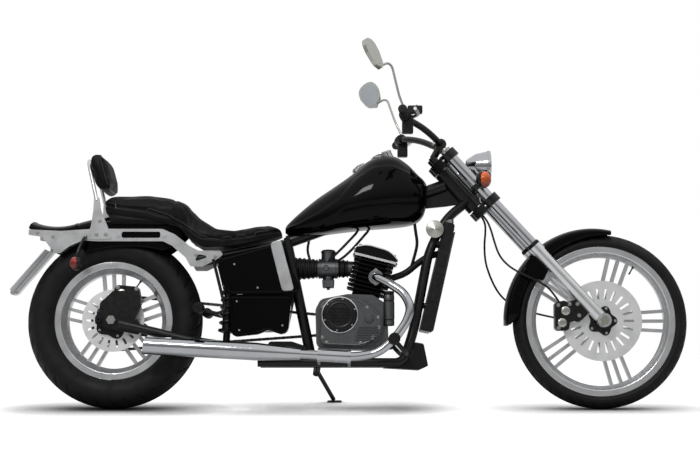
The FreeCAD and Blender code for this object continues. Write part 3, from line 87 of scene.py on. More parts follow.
SHOWN = SCENE.collection.objects
JOINTS = {joint["name"]: joint for joint in frame["joints"]}

# ---------------------------------------------------------------- places
MM = 0.001
across = np.array(JOINTS["rear_wheel"]["axis"])
hub = np.array(JOINTS["rear_wheel"]["pos_m"])
LEAN = math.atan2(-across[2], across[1])
COS, SIN = math.cos(LEAN), math.sin(LEAN)
REAR_HEIGHT = hub[2] / COS / MM                     # rear axle above the ground, upright
SHIFT = np.array([hub[0], hub[1] - hub[2] / COS * SIN, 0.0])


def set_down(points):
    """Upright millimetres to metres on the stand: x, y cos + z sin, z cos - y sin, then the shift."""
    p = np.asarray(points, float) * MM
    x, y, z = p[..., 0], p[..., 1], p[..., 2]
    return np.stack([x, y * COS + z * SIN, z * COS - y * SIN], -1) + SHIFT


def stand_up(points):
    """The way back: metres on the stand to upright millimetres."""
    p = np.asarray(points, float) - SHIFT
    x, y, z = p[..., 0], p[..., 1], p[..., 2]
    return np.stack([x, y * COS - z * SIN, z * COS + y * SIN], -1) / MM


REAR = np.array([0.0, 0.0, REAR_HEIGHT])
FRONT = stand_up(JOINTS["front_wheel"]["pos_m"])
FORK_UP = stand_up(SHIFT + np.array(JOINTS["steering"]["axis"]) * MM)
FORK_AHEAD = np.array([FORK_UP[2], 0.0, -FORK_UP[0]])
LEFT = np.array([0.0, 1.0, 0.0])
FORWARD = np.array([1.0, 0.0, 0.0])
UP = np.array([0.0, 0.0, 1.0])
SIDES = (-1, 1)


def on_leg(distance, side=0, ahead=0.0):
    """Point beside a fork leg, measured up the leg from the axle."""
    return FRONT + FORK_UP * distance + FORK_AHEAD * ahead + LEFT * side * 100.0


# ---------------------------------------------------------------- finishes
def linear(code):
    """sRGB hex colour as linear RGBA: c / 12.92 up to 0.04045, else ((c + 0.055) / 1.055) ** 2.4."""
    c = np.array([int(code[i:i + 2], 16) / 255.0 for i in (0, 2, 4)])
    c = np.where(c <= 0.04045, c / 12.92, ((c + 0.055) / 1.055) ** 2.4)
    return (*c.tolist(), 1.0)


def add(tree, kind, values=None, links=None, **settings):
    """One node: its properties, its input values and the outputs linked to its inputs."""
    made = tree.nodes.new("ShaderNode" + kind)
    for key, value in settings.items():
        setattr(made, key, value)
    for key, value in (values or {}).items():
        made.inputs[key].default_value = value
    for key, source in (links or {}).items():
        tree.links.new(source, made.inputs[key])
    return made


def blank_material(name):
    """Material with an empty node tree."""
    made = bpy.data.materials.new(name)
    made.use_nodes = True
    made.node_tree.nodes.clear()
    return made


def patches(tree, place, size, detail, reach, low, high):
    """Cloudy share from low to high: noise of a size in mm, stretched by what it reaches round 0.5."""
    noise = add(tree, "TexNoise", {"Scale": 1.0 / (size * MM), "Detail": detail}, {"Vector": place})
    span = {"From Min": 0.5 - reach, "From Max": 0.5 + reach, "To Min": low, "To Max": high}
    return add(tree, "MapRange", span, {"Value": noise.outputs["Fac"]}).outputs["Result"]


def finish(name, colour, metallic=0.0, roughness=0.5, mottle=None, rough=None, bumps=(), **sockets):
    """Principled finish.  mottle is (size mm, second colour, share), rough is (size mm, low, high)
    and each bump is (pattern, size mm, height mm)."""
    made = blank_material(name)
    tree = made.node_tree
    shader = add(tree, "BsdfPrincipled", {"Base Color": linear(colour), "Metallic": metallic,
                                          "Roughness": roughness})
    for key, value in sockets.items():
        shader.inputs[key.replace("_", " ")].default_value = value
    place = add(tree, "TexCoord").outputs["Object"]
    if mottle:
        size, second, share = mottle
        mix = add(tree, "Mix", {6: linear(colour), 7: linear(second)},
                  {0: patches(tree, place, size, 4.0, 0.15, 0.0, share)}, data_type="RGBA")
        tree.links.new(mix.outputs[2], shader.inputs["Base Color"])
    if rough:
        size, low, high = rough
        tree.links.new(patches(tree, place, size, 5.0, 0.2, low, high), shader.inputs["Roughness"])
    normal = None
    for pattern, size, height in bumps:
        kind = {"noise": "TexNoise", "cells": "TexVoronoi", "bands": "TexWave"}[pattern]
        texture = add(tree, kind, {"Scale": 1.0 / (size * MM)}, {"Vector": place})
        field = texture.outputs["Distance" if pattern == "cells" else "Fac"]
        links = {"Height": field}
        if normal:
            links["Normal"] = normal
        bump = add(tree, "Bump", {"Strength": 1.0, "Distance": height * MM}, links)
        normal = bump.outputs["Normal"]
    if normal:
        tree.links.new(normal, shader.inputs["Normal"])
    out = add(tree, "OutputMaterial")
    tree.links.new(shader.outputs["BSDF"], out.inputs["Surface"])
    return made


FINISH = {
    # Wet-sprayed black lacquer under clear coat: deep and sharp, with a faint orange peel in the shine.
    "lacquer": finish("lacquered_sheet_steel_black", "060607", 0.0, 0.07, mottle=(160, "0a0a0c", 0.6),
                      bumps=[("noise", 9, 0.004)], Coat_Weight=0.04, Coat_Roughness=0.03,
                      Specular_IOR_Level=0.1),
    # Powder coat: satin black with a fine pebbled skin.
    "powder": finish("powder_coated_steel_tube", "0c0c0d", 0.0, 0.34, mottle=(60, "131314", 0.7),
                     rough=(25, 0.28, 0.42), bumps=[("noise", 1.6, 0.05)],
                     Specular_IOR_Level=0.35),
    # Nickel-chrome plate over polished steel: near mirror with slightly hazier patches.
    "chrome": finish("chrome_plated_steel", "bec0c3", 1.0, 0.07, mottle=(120, "aeb1b5", 0.6),
                     rough=(35, 0.04, 0.13)),
    # Machined and polished casting: bright with a soft turned haze.
    "polished": finish("polished_cast_aluminium", "e4e5e6", 1.0, 0.3, mottle=(90, "d8d9db", 0.6),
                       rough=(60, 0.24, 0.36)),
    # Sand-cast alloy left rough: grey and dull with a grainy skin.
    "cast": finish("sand_cast_aluminium", "67686a", 1.0, 0.42, mottle=(30, "606163", 0.6),
                   rough=(12, 0.34, 0.54), bumps=[("noise", 2.2, 0.1)]),
    # Ground stainless: dull silver with soft cloudy patches.
    "disc": finish("ground_stainless_steel", "f0f0f0", 1.0, 0.5, mottle=(60, "e2e3e4", 0.6),
                   rough=(50, 0.44, 0.56)),
    # Oiled chain steel: dark metal with brown grease in places.
    "chain": finish("oiled_carbon_steel", "6d6a64", 1.0, 0.4, mottle=(14, "3d3a34", 0.9),
                    rough=(9, 0.3, 0.6)),
    # Vulcanised tread rubber: dull charcoal, a little dusty.
    "tyre": finish("vulcanised_tyre_rubber", "0f0f0f", 0.0, 0.6, mottle=(70, "1a1a1a", 0.8),
                   rough=(30, 0.5, 0.7), bumps=[("noise", 2.5, 0.06)], Specular_IOR_Level=0.25),
    # Moulded rubber of hoses and grips.
    "rubber": finish("moulded_nitrile_rubber", "0d0d0d", 0.0, 0.5, mottle=(20, "161616", 0.7),
                     rough=(10, 0.42, 0.6), bumps=[("noise", 1.5, 0.05)],
                     Specular_IOR_Level=0.3),
    # Embossed upholstery vinyl: small pebble grain, drawn 3 mm wide so that it shows.
    "vinyl": finish("embossed_upholstery_vinyl", "0b0a0a", 0.0, 0.46, mottle=(90, "121111", 0.8),
                    rough=(24, 0.4, 0.54), bumps=[("cells", 3.0, 0.12)],
                    Specular_IOR_Level=0.13, Sheen_Weight=0.02),
    # Injection-moulded ABS: dull black with a spark-eroded texture.
    "abs": finish("moulded_abs_black", "0e0e0f", 0.0, 0.46, mottle=(50, "151517", 0.6),
                  rough=(15, 0.4, 0.56), bumps=[("cells", 1.8, 0.05)], Specular_IOR_Level=0.25),
    # Heat-proof matt paint on the barrel: sooty black that takes hardly any shine.
    "heat": finish("heat_resistant_matt_paint", "0b0b0b", 0.0, 0.62, mottle=(26, "131312", 0.8),
                   rough=(14, 0.55, 0.7), bumps=[("noise", 2.4, 0.06)],
                   Specular_IOR_Level=0.12),
    # Stove enamel on castings: satin black, slightly uneven.
    "enamel": finish("stove_enamelled_casting_black", "0d0d0e", 0.0, 0.3, mottle=(26, "161618", 0.8),
                     rough=(16, 0.24, 0.4), bumps=[("noise", 2.6, 0.07)],
                     Specular_IOR_Level=0.4),
    # Zinc-plated fasteners: pale grey with a faint warm bloom.
    "zinc": finish("zinc_plated_fastener", "c2c3bd", 1.0, 0.32, mottle=(5, "a9a79c", 0.6),
                   rough=(3, 0.24, 0.42)),
    # Dyed acrylic lenses: saturated and glossy, with fine moulded bands.
    "red": finish("dyed_acrylic_red", "8c130c", 0.0, 0.16, mottle=(8, "a8241a", 0.7),
                  bumps=[("bands", 5.0, 0.2)], Coat_Weight=0.4),
    "amber": finish("dyed_acrylic_amber", "d4500a", 0.0, 0.16, mottle=(8, "e86a16", 0.7),
                    bumps=[("bands", 5.0, 0.2)], Coat_Weight=0.4),
    # Pressed lamp glass with shallow flutes.
    "glass": finish("pressed_lamp_glass", "f2f6f8", 0.0, 0.04, rough=(20, 0.02, 0.08),
                    bumps=[("bands", 12.0, 0.3)], Transmission_Weight=0.85, IOR=1.5),
    # Extruded vinyl piping along a seam: a little greyer and glossier than the cover.
    "piping": finish("extruded_vinyl_piping", "1d1d1e", 0.0, 0.3, mottle=(12, "141415", 0.6),
                     rough=(8, 0.24, 0.38)),
    # Screen-printed white ink on the dial.
    "ink": finish("screen_printed_white_ink", "e8e8e2", 0.0, 0.5, mottle=(4, "d6d6d0", 0.5),
                  rough=(3, 0.45, 0.6)),
    # Silvered mirror glass.
    "mirror": finish("silvered_mirror_glass", "aab0b4", 1.0, 0.03, mottle=(60, "a2a8ac", 0.4),
                     rough=(40, 0.02, 0.05)),
}

NODE_FINISH = {                     # finish: nodes of the solid model
    "powder": "frame_backbone frame_down_tubes frame_lower_rails frame_seat_posts swingarm "
              "shock_absorber footpegs side_stand",
    "zinc": "rear_axle horn front_axle mirrors",
    "lacquer": "rear_fender fuel_tank side_covers front_fender",
    "polished": "fender_rails backrest_frame number_plate_bracket fork_sliders levers "
                "front_wheel_casting rear_wheel_casting",
    "vinyl": "backrest_pad seat",
    "red": "rear_lamps",
    "cast": "crankcase carburettor",
    "enamel": "engine_covers radiator rear_caliper fork_clamps front_caliper handlebar "
              "hand_controls",
    "heat": "cylinder rocker_cover",
    "abs": "chin_guard battery_box",
    "rubber": "coolant_hoses tank_hoses grips brake_hose speedometer_cable",
    "chrome": "speedometer exhaust_header muffler heat_shield fork_tubes headlight",
    "chain": "drive_chain rear_sprocket",
    "glass": "headlight_lens",
    "amber": "front_signals",
    "tyre": "front_tyre rear_tyre",
    "disc": "front_disc rear_disc",
}
for key, nodes in NODE_FINISH.items():
    for node in nodes.split():
        NODES[node].data.materials.clear()
        NODES[node].data.materials.append(FINISH[key])


# ---------------------------------------------------------------- shape helpers
def grid_faces(rows, columns, close_rows=False, close_columns=False):
    """Quads of a grid of points: (i, j), (i + 1, j), (i + 1, j + 1), (i, j + 1), wrapping where closed."""
    i = np.arange(rows if close_rows else rows - 1)[:, None]
    j = np.arange(columns if close_columns else columns - 1)[None, :]
    below, beside = (i + 1) % rows, (j + 1) % columns
    corners = (i * columns + j, below * columns + j, below * columns + beside, i * columns + beside)
    return np.stack(np.broadcast_arrays(*corners), -1).reshape(-1, 4)


def unit(vectors):
    """Vectors brought to length 1."""
    vectors = np.asarray(vectors, float)
    return vectors / np.linalg.norm(vectors, axis=-1, keepdims=True)


def square_to(axis):
    """Two unit directions square to an axis and to each other."""
    axis = unit(axis)
    near = np.where(np.abs(axis[..., 2:3]) > 0.9, FORWARD, UP)
    first = unit(np.cross(near, axis))
    return first, np.cross(axis, first)


def step_up(x, low, high):
    """Smooth step from 0 to 1: 3 t^2 - 2 t^3 with t the share of the way from low to high."""
    t = np.clip((np.asarray(x, float) - low) / (high - low), 0.0, 1.0)
    return t * t * (3.0 - 2.0 * t)


def squared(wave, power):
    """Wave between -1 and 1 raised to a power with its sign kept: below 1 it makes a circle squarer."""
    return np.sign(wave) * np.abs(wave) ** power


def spline(rows, count, closed=False):
    """Catmull-Rom curve through rows of numbers: cubic stretches whose slopes are the neighbours' chords."""
    p = np.asarray(rows, float)
    stretches = len(p) if closed else len(p) - 1
    if closed:
        p = np.vstack([p[-1:], p, p[:2]])
    else:
        p = np.vstack([2 * p[:1] - p[1:2], p, 2 * p[-1:] - p[-2:-1]])
    t = np.linspace(0.0, stretches, count, endpoint=not closed)
    k = np.minimum(t.astype(int), stretches - 1)
    f = (t - k)[:, None]
    a, b, c, d = p[k], p[k + 1], p[k + 2], p[k + 3]
    return 0.5 * (2 * b + (c - a) * f + (2 * a - 5 * b + 4 * c - d) * f ** 2
                  + (3 * b - a - 3 * c + d) * f ** 3)


def full_turn(count):
    """Angles evenly spread over a whole turn, the first at 0."""
    return np.linspace(0.0, 2.0 * np.pi, count, endpoint=False)


def circle(radius, steps=16, flat=1.0):
    """Closed ring of (x, y): radius (cos a, flat sin a)."""
    a = full_turn(steps)
    return np.stack([radius * np.cos(a), radius * flat * np.sin(a)], -1)


def capped(rings):
    """Closed tube from rings of points (rows x columns x 3), a fan at each end round its ring's middle."""
    rows, columns = rings.shape[:2]
    points = np.vstack([rings.reshape(-1, 3), rings[0].mean(0), rings[-1].mean(0)])
    j = np.arange(columns)
    nxt, last = (j + 1) % columns, (rows - 1) * columns
    first_fan = np.stack([np.full(columns, rows * columns), j, nxt], -1)
    last_fan = np.stack([np.full(columns, rows * columns + 1), last + nxt, last + j], -1)
    return points, [grid_faces(rows, columns, False, True), first_fan, last_fan]


def revolved(profile, centre, axis, steps=64, closed=False):
    """Rows (radius, along) turned about an axis: centre + along axis + radius (cos a u + sin a v)."""
    profile = np.asarray(profile, float)
    u, v = square_to(axis)
    a = full_turn(steps)[:, None]
    ring = np.cos(a) * u + np.sin(a) * v
    points = centre + profile[:, 1, None, None] * unit(axis) + profile[:, 0, None, None] * ring
    return points.reshape(-1, 3), [grid_faces(len(profile), steps, closed, True)]


def frames(path, beside, closed=False):
    """Directions across a path: side is tangent x beside, up is side x tangent."""
    ahead = np.roll(path, -1, 0) - np.roll(path, 1, 0) if closed else np.gradient(path, axis=0)
    ahead = unit(ahead)
    side = unit(np.cross(ahead, beside))
    return side, np.cross(side, ahead)


def swept(path, profile, beside=LEFT, closed=False):
    """Closed profile (x, y) carried along a path: path + x side + y up at every point of it."""
    path = np.asarray(path, float)
    profile = np.asarray(profile, float)
    side, up = frames(path, beside, closed)
    if profile.ndim == 2:
        profile = profile[None]
    rings = path[:, None] + profile[..., 0, None] * side[:, None] + profile[..., 1, None] * up[:, None]
    if closed:
        return rings.reshape(-1, 3), [grid_faces(*rings.shape[:2], True, True)]
    return capped(rings)


def shell(outer, inner):
    """Sheet between two grids of points of one shape, with a strip round its edge."""
    rows, columns = outer.shape[:2]
    count = rows * columns
    edge = edge_of(np.arange(count).reshape(rows, columns))
    nxt = np.roll(edge, -1)
    faces = grid_faces(rows, columns)
    strip = np.stack([edge, nxt, nxt + count, edge + count], -1)
    return np.vstack([outer.reshape(-1, 3), inner.reshape(-1, 3)]), [faces, faces[:, ::-1] + count, strip]


def edge_of(grid):
    """Closed line of the entries round the edge of a grid."""
    return np.concatenate([grid[0, :-1], grid[:-1, -1], grid[-1, :0:-1], grid[:0:-1, 0]])


def plate(outline, start, end, chamfer=1.0):
    """Slab between two levels along Y from a closed outline of (x, z), its two edges eased by a chamfer:
    four rings of the outline, the outer two drawn in towards its own normals, closed by flat faces."""
    flat = np.asarray(outline, float)
    along = unit(np.roll(flat, -1, 0) - np.roll(flat, 1, 0))
    turn = np.sum(flat[:, 0] * np.roll(flat[:, 1], -1) - np.roll(flat[:, 0], -1) * flat[:, 1])
    inward = np.stack([-along[:, 1], along[:, 0]], -1) * np.sign(turn)
    ease = chamfer * np.sign(end - start)
    rings = []
    for level, draw in ((start, chamfer), (start + ease, 0.0), (end - ease, 0.0), (end, chamfer)):
        ring = flat + inward * draw
        rings.append(at_level(ring, level))
    points = np.concatenate(rings)
    count = len(flat)
    caps = np.stack([np.arange(count)[::-1], np.arange(count) + 3 * count])
    return points, [grid_faces(4, count, False, True), caps]


def at_level(flat, level):
    """Outline of (x, z) as points at one level along Y."""
    return np.stack([flat[:, 0], np.full(len(flat), level), flat[:, 1]], -1)


def bead(outline, radius, beside=LEFT):
    """Round bead along a closed line of points."""
    return swept(outline, circle(radius, 8), beside, True)


def rounded(corners, steps=6):
    """Outline of (x, z) with each corner (x, z, radius) eased by an arc-like curve: the quadratic
    (1 - t)^2 A + 2 t (1 - t) corner + t^2 B between points A and B set back along both sides."""
    rows = np.asarray(corners, float)
    here = rows[:, None, :2]
    back, on = np.roll(rows, 1, 0)[:, None, :2] - here, np.roll(rows, -1, 0)[:, None, :2] - here
    long_back, long_on = (np.linalg.norm(v, axis=-1, keepdims=True) for v in (back, on))
    set_back = np.minimum(rows[:, None, 2:3], 0.48 * np.minimum(long_back, long_on))
    a, b = here + back / long_back * set_back, here + on / long_on * set_back
    t = np.linspace(0.0, 1.0, steps)[None, :, None]
    return ((1 - t) ** 2 * a + 2 * t * (1 - t) * here + t ** 2 * b).reshape(-1, 2)


def rib(back, front, low, high, start, end, steps=6):
    """Flat rib on a side face, its four corners eased by 1.5 mm, from one level along Y to another."""
    corners = [(back, low, 1.5), (front, low, 1.5), (front, high, 1.5), (back, high, 1.5)]
    return plate(rounded(corners, steps), start, end, 0.8)


def mirrored(part):
    """The same part on the other side of the machine: y turned to -y and the faces turned round."""
    points, faces = part
    return points * np.array([1.0, -1.0, 1.0]), [block[:, ::-1] for block in faces]


def both(*parts):
    """Parts with their mirror images."""
    return list(parts) + [mirrored(part) for part in parts]


def copies(part, places, axes, spin=0.0):
    """A small part repeated: its Z lies along each axis and its origin at each place."""
    points, faces = part
    places = np.atleast_2d(np.asarray(places, float))
    axes = unit(np.broadcast_to(np.asarray(axes, float), places.shape))
    u, v = square_to(axes)
    turn = np.broadcast_to(np.asarray(spin, float), len(places))[:, None]
    x, y = u * np.cos(turn) + v * np.sin(turn), v * np.cos(turn) - u * np.sin(turn)
    out = (places[:, None] + points[None, :, 0, None] * x[:, None] + points[None, :, 1, None] * y[:, None]
           + points[None, :, 2, None] * axes[:, None])
    starts = (np.arange(len(places)) * len(points))[:, None, None]
    return out.reshape(-1, 3), [(block[None] + starts).reshape(-1, block.shape[1]) for block in faces]


def merge_doubles(mesh, outwards=False):
    """Make one point of those in the same place and, if asked, turn the faces outwards."""
    solid = bmesh.new()
    solid.from_mesh(mesh)
    bmesh.ops.remove_doubles(solid, verts=solid.verts, dist=1e-6)
    if outwards:
        bmesh.ops.recalc_face_normals(solid, faces=solid.faces)
    solid.to_mesh(mesh)
    solid.free()


def piece(name, parts, key, body="chassis", nodes=(), sharp=35.0):
    """One object from (points, faces) parts: points set down, doubles merged, faces turned outwards,
    smooth except where two faces meet more sharply than the given angle."""
    points, blocks = joined(*parts)
    sizes = np.concatenate([np.full(len(block), block.shape[1]) for block in blocks])
    corners = np.concatenate([block.ravel() for block in blocks])
    mesh = bpy.data.meshes.new(name)
    mesh.vertices.add(len(points))
    mesh.vertices.foreach_set("co", set_down(points).ravel())
    mesh.loops.add(len(corners))
    mesh.loops.foreach_set("vertex_index", corners)
    mesh.polygons.add(len(sizes))
    mesh.polygons.foreach_set("loop_start", np.cumsum(sizes) - sizes)
    mesh.update(calc_edges=True)
    merge_doubles(mesh, True)
    mesh.shade_smooth()
    mesh.set_sharp_from_angle(angle=math.radians(sharp))
    return enter(bpy.data.objects.new(name, mesh), key, body, nodes)


def enter(made, key, body="chassis", nodes=()):
    """Give an object its finish and its body, and hide the nodes that it stands for."""
    made.data.materials.clear()
    made.data.materials.append(FINISH[key])
    SHOWN.link(made)
    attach(made, body)
    if nodes:
        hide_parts(*nodes)
    return made


def hexagon_bolt(radius, height, washer=1.45):
    """Bolt head along Z: a six-sided barrel with a chamfered top over a round washer."""
    head = revolved([(radius, 0.0), (radius, height * 0.75), (radius * 0.84, height), (0.0, height)],
                    np.zeros(3), UP, 6)
    under = revolved([(radius * washer, -0.6), (radius * washer, 0.9), (radius * 0.9, 1.0)],
                     np.zeros(3), UP, 14)
    return joined(head, under)


def socket_bolt(radius, height):
    """Cap screw along Z: a round head with an eased rim and a sunk round socket."""
    rows = [(radius, -0.5), (radius, height - 0.8), (radius - 0.8, height), (radius * 0.5, height),
            (radius * 0.42, height * 0.45), (0.0, height * 0.4)]
    return revolved(rows, np.zeros(3), UP, 12)


def joined(*parts):
    """Several parts as one (points, faces) part."""
    starts = np.cumsum([0] + [len(part[0]) for part in parts[:-1]])
    return (np.concatenate([part[0] for part in parts]),
            [block + start for part, start in zip(parts, starts) for block in part[1]])


def about(centre, radius, y, a):
    """Places at a radius and a level y about an axle, a being the turn from forward: radius cos a
    forward and radius sin a up."""
    return centre + np.stack(np.broadcast_arrays(radius * np.cos(a), y, radius * np.sin(a)), -1)


def on_circle(centre, radius, count, first=0.0, y=None):
    """Places round a wheel-like circle in the XZ plane, angles from forward."""
    a = np.radians(first) + 2.0 * np.pi * np.arange(count) / count
    level = centre[1] if y is None else y
    return about((centre[0], level, centre[2]), radius, 0.0, a)


# ---------------------------------------------------------------- tyres
def circle_through(a, b, c, count):
    """Points on the arc from a by b to c, in a plane."""
    a, b, c = (np.asarray(p, float) for p in (a, b, c))
    rows = 2.0 * np.array([b - a, c - a])
    centre = np.linalg.solve(rows, np.array([b @ b - a @ a, c @ c - a @ a]))
    turns = [math.atan2(*(p - centre)[::-1]) for p in (a, b, c)]
    turns = np.unwrap(turns)
    t = np.linspace(turns[0], turns[2], count)[:, None]
    return centre + np.linalg.norm(a - centre) * np.hstack([np.cos(t), np.sin(t)])


def tyre(axle, radius, half, crown, shoulder, side_radius, bead, flange, seat, blocks, slant, ribs):
    """Tyre skin as radius(s, a), y(s): the round section less the tread.  A groove is cut where the
    saw-tooth of blocks a / (2 pi) + slant (|y| / shoulder)^0.8, a quarter further on the left, is near
    its middle, and along each rib line."""
    middle = radius - crown
    swing = math.asin(shoulder / crown)
    edge = middle + crown * math.cos(swing)
    wall = circle_through((flange, seat), (side_radius, half), (edge, shoulder), 15)
    wall[:, 1] += 0.9 * np.exp(-((wall[:, 0] - flange - 14.0) / 1.6) ** 2)
    wall[:, 1] += 0.9 * np.exp(-((wall[:, 0] - edge + 16.0) / 2.0) ** 2)
    t = np.linspace(swing, -swing, 49)[1:-1]
    tread = np.stack([middle + crown * np.cos(t), crown * np.sin(t)], -1)
    rows = np.vstack([[(bead, -seat), (bead, seat)], wall, tread, (wall * (1, -1))[::-1]])
    steps = 560
    a = full_turn(steps)[None]
    r, y = rows[:, :1], rows[:, 1:]
    share = np.abs(y) / shoulder
    wave = (blocks * a / (2.0 * np.pi) + slant * share ** 0.8 + 0.25 * (y > 0)) % 1.0
    cut = step_up(0.13 - np.abs(wave - 0.5), 0.0, 0.05) * step_up(share, 0.16, 0.24)
    for line in ribs:
        cut = np.maximum(cut, step_up(2.4 - np.abs(np.abs(y) - line), 0.0, 1.0) + 0.0 * a)
    on_tread = step_up(r, edge - 12.0, edge - 4.0) * (1.0 - step_up(share, 0.97, 1.06))
    r = r - 4.0 * cut * on_tread
    return about(axle, r, y, a).reshape(-1, 3), [grid_faces(len(rows), steps, True, True)]


TYRES = (
    # name, axle, radius, half width, crown, shoulder, side, bead, flange, seat, blocks, slant, ribs
    ("front_tyre", FRONT, 338.5, 42.5, 46.0, 38.0, 304.0, 267.0, 289.5, 27.0, 46, 0.9, (0.0, 14.0)),
    ("rear_tyre", REAR, 339.0, 85.5, 105.0, 76.0, 272.0, 203.0, 228.0, 52.0, 34, 1.2, (0.0, 24.0)))
for name, *numbers in TYRES:
    piece(name + "_tread", [tyre(*numbers)],
          "tyre", name.replace("tyre", "wheel"), nodes=(name,), sharp=50)


# ---------------------------------------------------------------- fenders
def beaded(outer, inner, radius, beside):
    """Sheet between two grids of points, and a round bead that rolls along its edge."""
    return [shell(outer, inner), bead(edge_of((outer + inner) / 2.0), radius, beside)]


def fender(centre, top, depth, half, shoulder, start, end, ease=(14.0, 14.0), settle=0.0, steps=72):
    """Guard as a sheet over two parameters: the turn from start to end and the way over the section,
    straight skirt, quarter round, crown, and back.  Towards each end the skirts and width draw in with
    the square of the way there, and the start settles towards the tyre.  The inner sheet lies 3 mm
    inside and a bead rolls round the edge."""
    turn = np.linspace(start, end, steps)[:, None]
    near = np.maximum(1.0 - np.abs(turn - start) / ease[0], 1.0 - np.abs(end - turn) / ease[1])
    near = np.clip(near, 0.0, 1.0) ** 2
    crown = top - settle * np.clip(1.0 - np.abs(turn - start) / ease[0], 0.0, 1.0) ** 2
    s = np.linspace(-1.0, 1.0, 41)[None]
    bend = np.clip(np.abs(s) / 0.72, 0.0, 1.0) * np.pi / 2.0
    skirt = np.clip((np.abs(s) - 0.72) / 0.28, 0.0, 1.0)
    sheets = []
    for wall in (0.0, 3.0):
        wide = (half - wall) * (1.0 - 0.16 * near)
        y = np.sign(s) * wide * np.sin(bend) ** 0.86
        drop = shoulder * (1.0 - np.cos(bend)) + (depth - shoulder) * skirt * (1.0 - 0.8 * near)
        radius = crown - wall - drop * (1.0 - 0.25 * near)
        sheets.append(about(centre, radius, y, np.radians(turn)))
    return beaded(*sheets, 2.3, UP * 0.3 + FORWARD)


def fender_tail():
    """Tail that turns up behind the arch: a like section turned about a centre above it, its width
    falling by 0.12 of the square of the way along."""
    turn = math.radians(107.5)
    out = np.array([math.cos(turn), 0.0, math.sin(turn)])
    centre = ARCH_CENTRE + out * (700.0 + 250.0)
    way = np.linspace(0.0, 1.0, 28)[:, None]
    a = np.radians(-72.5 - 38.5 * way)
    s = np.linspace(-1.0, 1.0, 33)[None]
    bend = np.clip(np.abs(s) / 0.8, 0.0, 1.0) * np.pi / 2.0
    sheets = []
    for wall in (0.0, 3.0):
        wide = (100.0 - wall) * (1.0 - 0.12 * way ** 2)
        y = np.sign(s) * wide * np.sin(bend) ** 0.86
        drop = 24.0 * (1.0 - np.cos(bend)) + 5.0 * np.clip((np.abs(s) - 0.8) / 0.2, 0, 1)
        radius = 250.0 + wall + drop
        sheets.append(about(centre, radius, y, a))
    return beaded(*sheets, 3.4, UP * 0.3 + LEFT * 0.2 + FORWARD)


ARCH_CENTRE = np.array([60.0, 0.0, 52.0])
front_stay = rounded([(-295, 560, 12), (-245, 600, 12), (-195, 560, 10), (-225, 492, 12), (-285, 505, 12)])
front_stay[:, 0] += FRONT[0]
piece("front_fender_skin", fender(FRONT, 374.0, 50.0, 58.0, 20.0, 83.0, 182.0, (52.0, 9.0), 15.0)
      + both(plate(front_stay, 57.0, 76.0, 2.0)), "lacquer", "steering", nodes=("front_fender",))
piece("rear_fender_skin", fender(ARCH_CENTRE, 700.0, 125.0, 100.0, 30.0, 71.0, 107.5, (6.0, 0.5))
      + fender_tail(), "lacquer", nodes=("rear_fender",))


# ---------------------------------------------------------------- fuel tank
TANK_ROWS = (
    # x, bottom, top, half width, widest level, crown width share
    (660, 684, 706, 14, 696, 0.8), (672, 677, 722, 34, 700, 0.8), (712, 672, 760, 66, 716, 0.8),
    (780, 674, 816, 98, 738, 0.8), (850, 684, 864, 122, 762, 0.8), (920, 693, 914, 138, 782, 0.8),
    (985, 700, 968, 147, 797, 0.78), (1040, 704, 988, 147, 806, 0.76), (1092, 708, 984, 139, 813, 0.74),
    (1140, 714, 954, 121, 816, 0.76), (1176, 726, 918, 98, 820, 0.8), (1200, 752, 896, 72, 828, 0.84),
    (1212, 790, 880, 44, 838, 0.9))
TANK_CREASE = ((660, 702), (712, 716), (790, 754), (871, 806), (933, 884), (1000, 930), (1080, 938),
               (1150, 905), (1212, 866))
TANK_FOLD = ((660, 690), (800, 700), (894, 776), (980, 790), (1080, 800), (1158, 806), (1212, 812))


def tank_skin():
    """Tank as rings along X.  Over the waist y = wide cos(a)^share, z = waist + (top - waist) sin(a)^1.02;
    below it the ring is flatter.  A crease and a fold run along it, where the side steps in by a few mm."""
    rows = spline(TANK_ROWS, 110)
    x, bottom, top, wide, waist, share = (rows[:, i:i + 1] for i in range(6))
    a = full_turn(120)[None]
    c, s = np.cos(a), np.sin(a)
    above = s >= 0
    z = waist + np.where(above, (top - waist) * np.abs(s) ** 1.02, -(waist - bottom) * np.abs(s) ** 0.8)
    y = wide * squared(c, np.where(above, share, 0.62))
    crease = np.interp(x, *np.array(TANK_CREASE, float).T)
    fold = np.interp(x, *np.array(TANK_FOLD, float).T)
    inward = 5.5 * step_up(z, crease - 3.0, crease + 5.0) + 4.5 * (1.0 - step_up(z, fold - 5.0, fold + 3.0))
    y = y - np.sign(c) * np.minimum(inward, 0.35 * np.abs(y))
    return capped(np.stack([x + 0.0 * a, y, z], -1))


def filler_cap(centre, axis):
    """Flush cap: a low dome with a knurled rim and a key cover."""
    rows = [(30, -6), (31, 2), (29, 5), (27.5, 5.5), (27, 9), (25, 11.5), (16, 13.5), (7, 14.2), (0, 14.4)]
    rim = revolved([(26.4, 6.2), (28.2, 6.5), (28.2, 9.2), (26.4, 9.4)], centre, axis, 60)
    return [revolved(rows, centre, axis, 60), rim,
            copies(revolved([(6, 0), (6, 2.2), (4.8, 3), (0, 3.2)], np.zeros(3), UP, 20),
                   centre + unit(axis) * 13.2, axis)]


piece("fuel_tank_skin", [tank_skin()], "lacquer", nodes=("fuel_tank",), sharp=60)
CAP_AXIS = np.array([-0.56, 0.0, 0.83])
piece("filler_cap", filler_cap(np.array([950.0, 0.0, 939.0]), CAP_AXIS), "chrome")


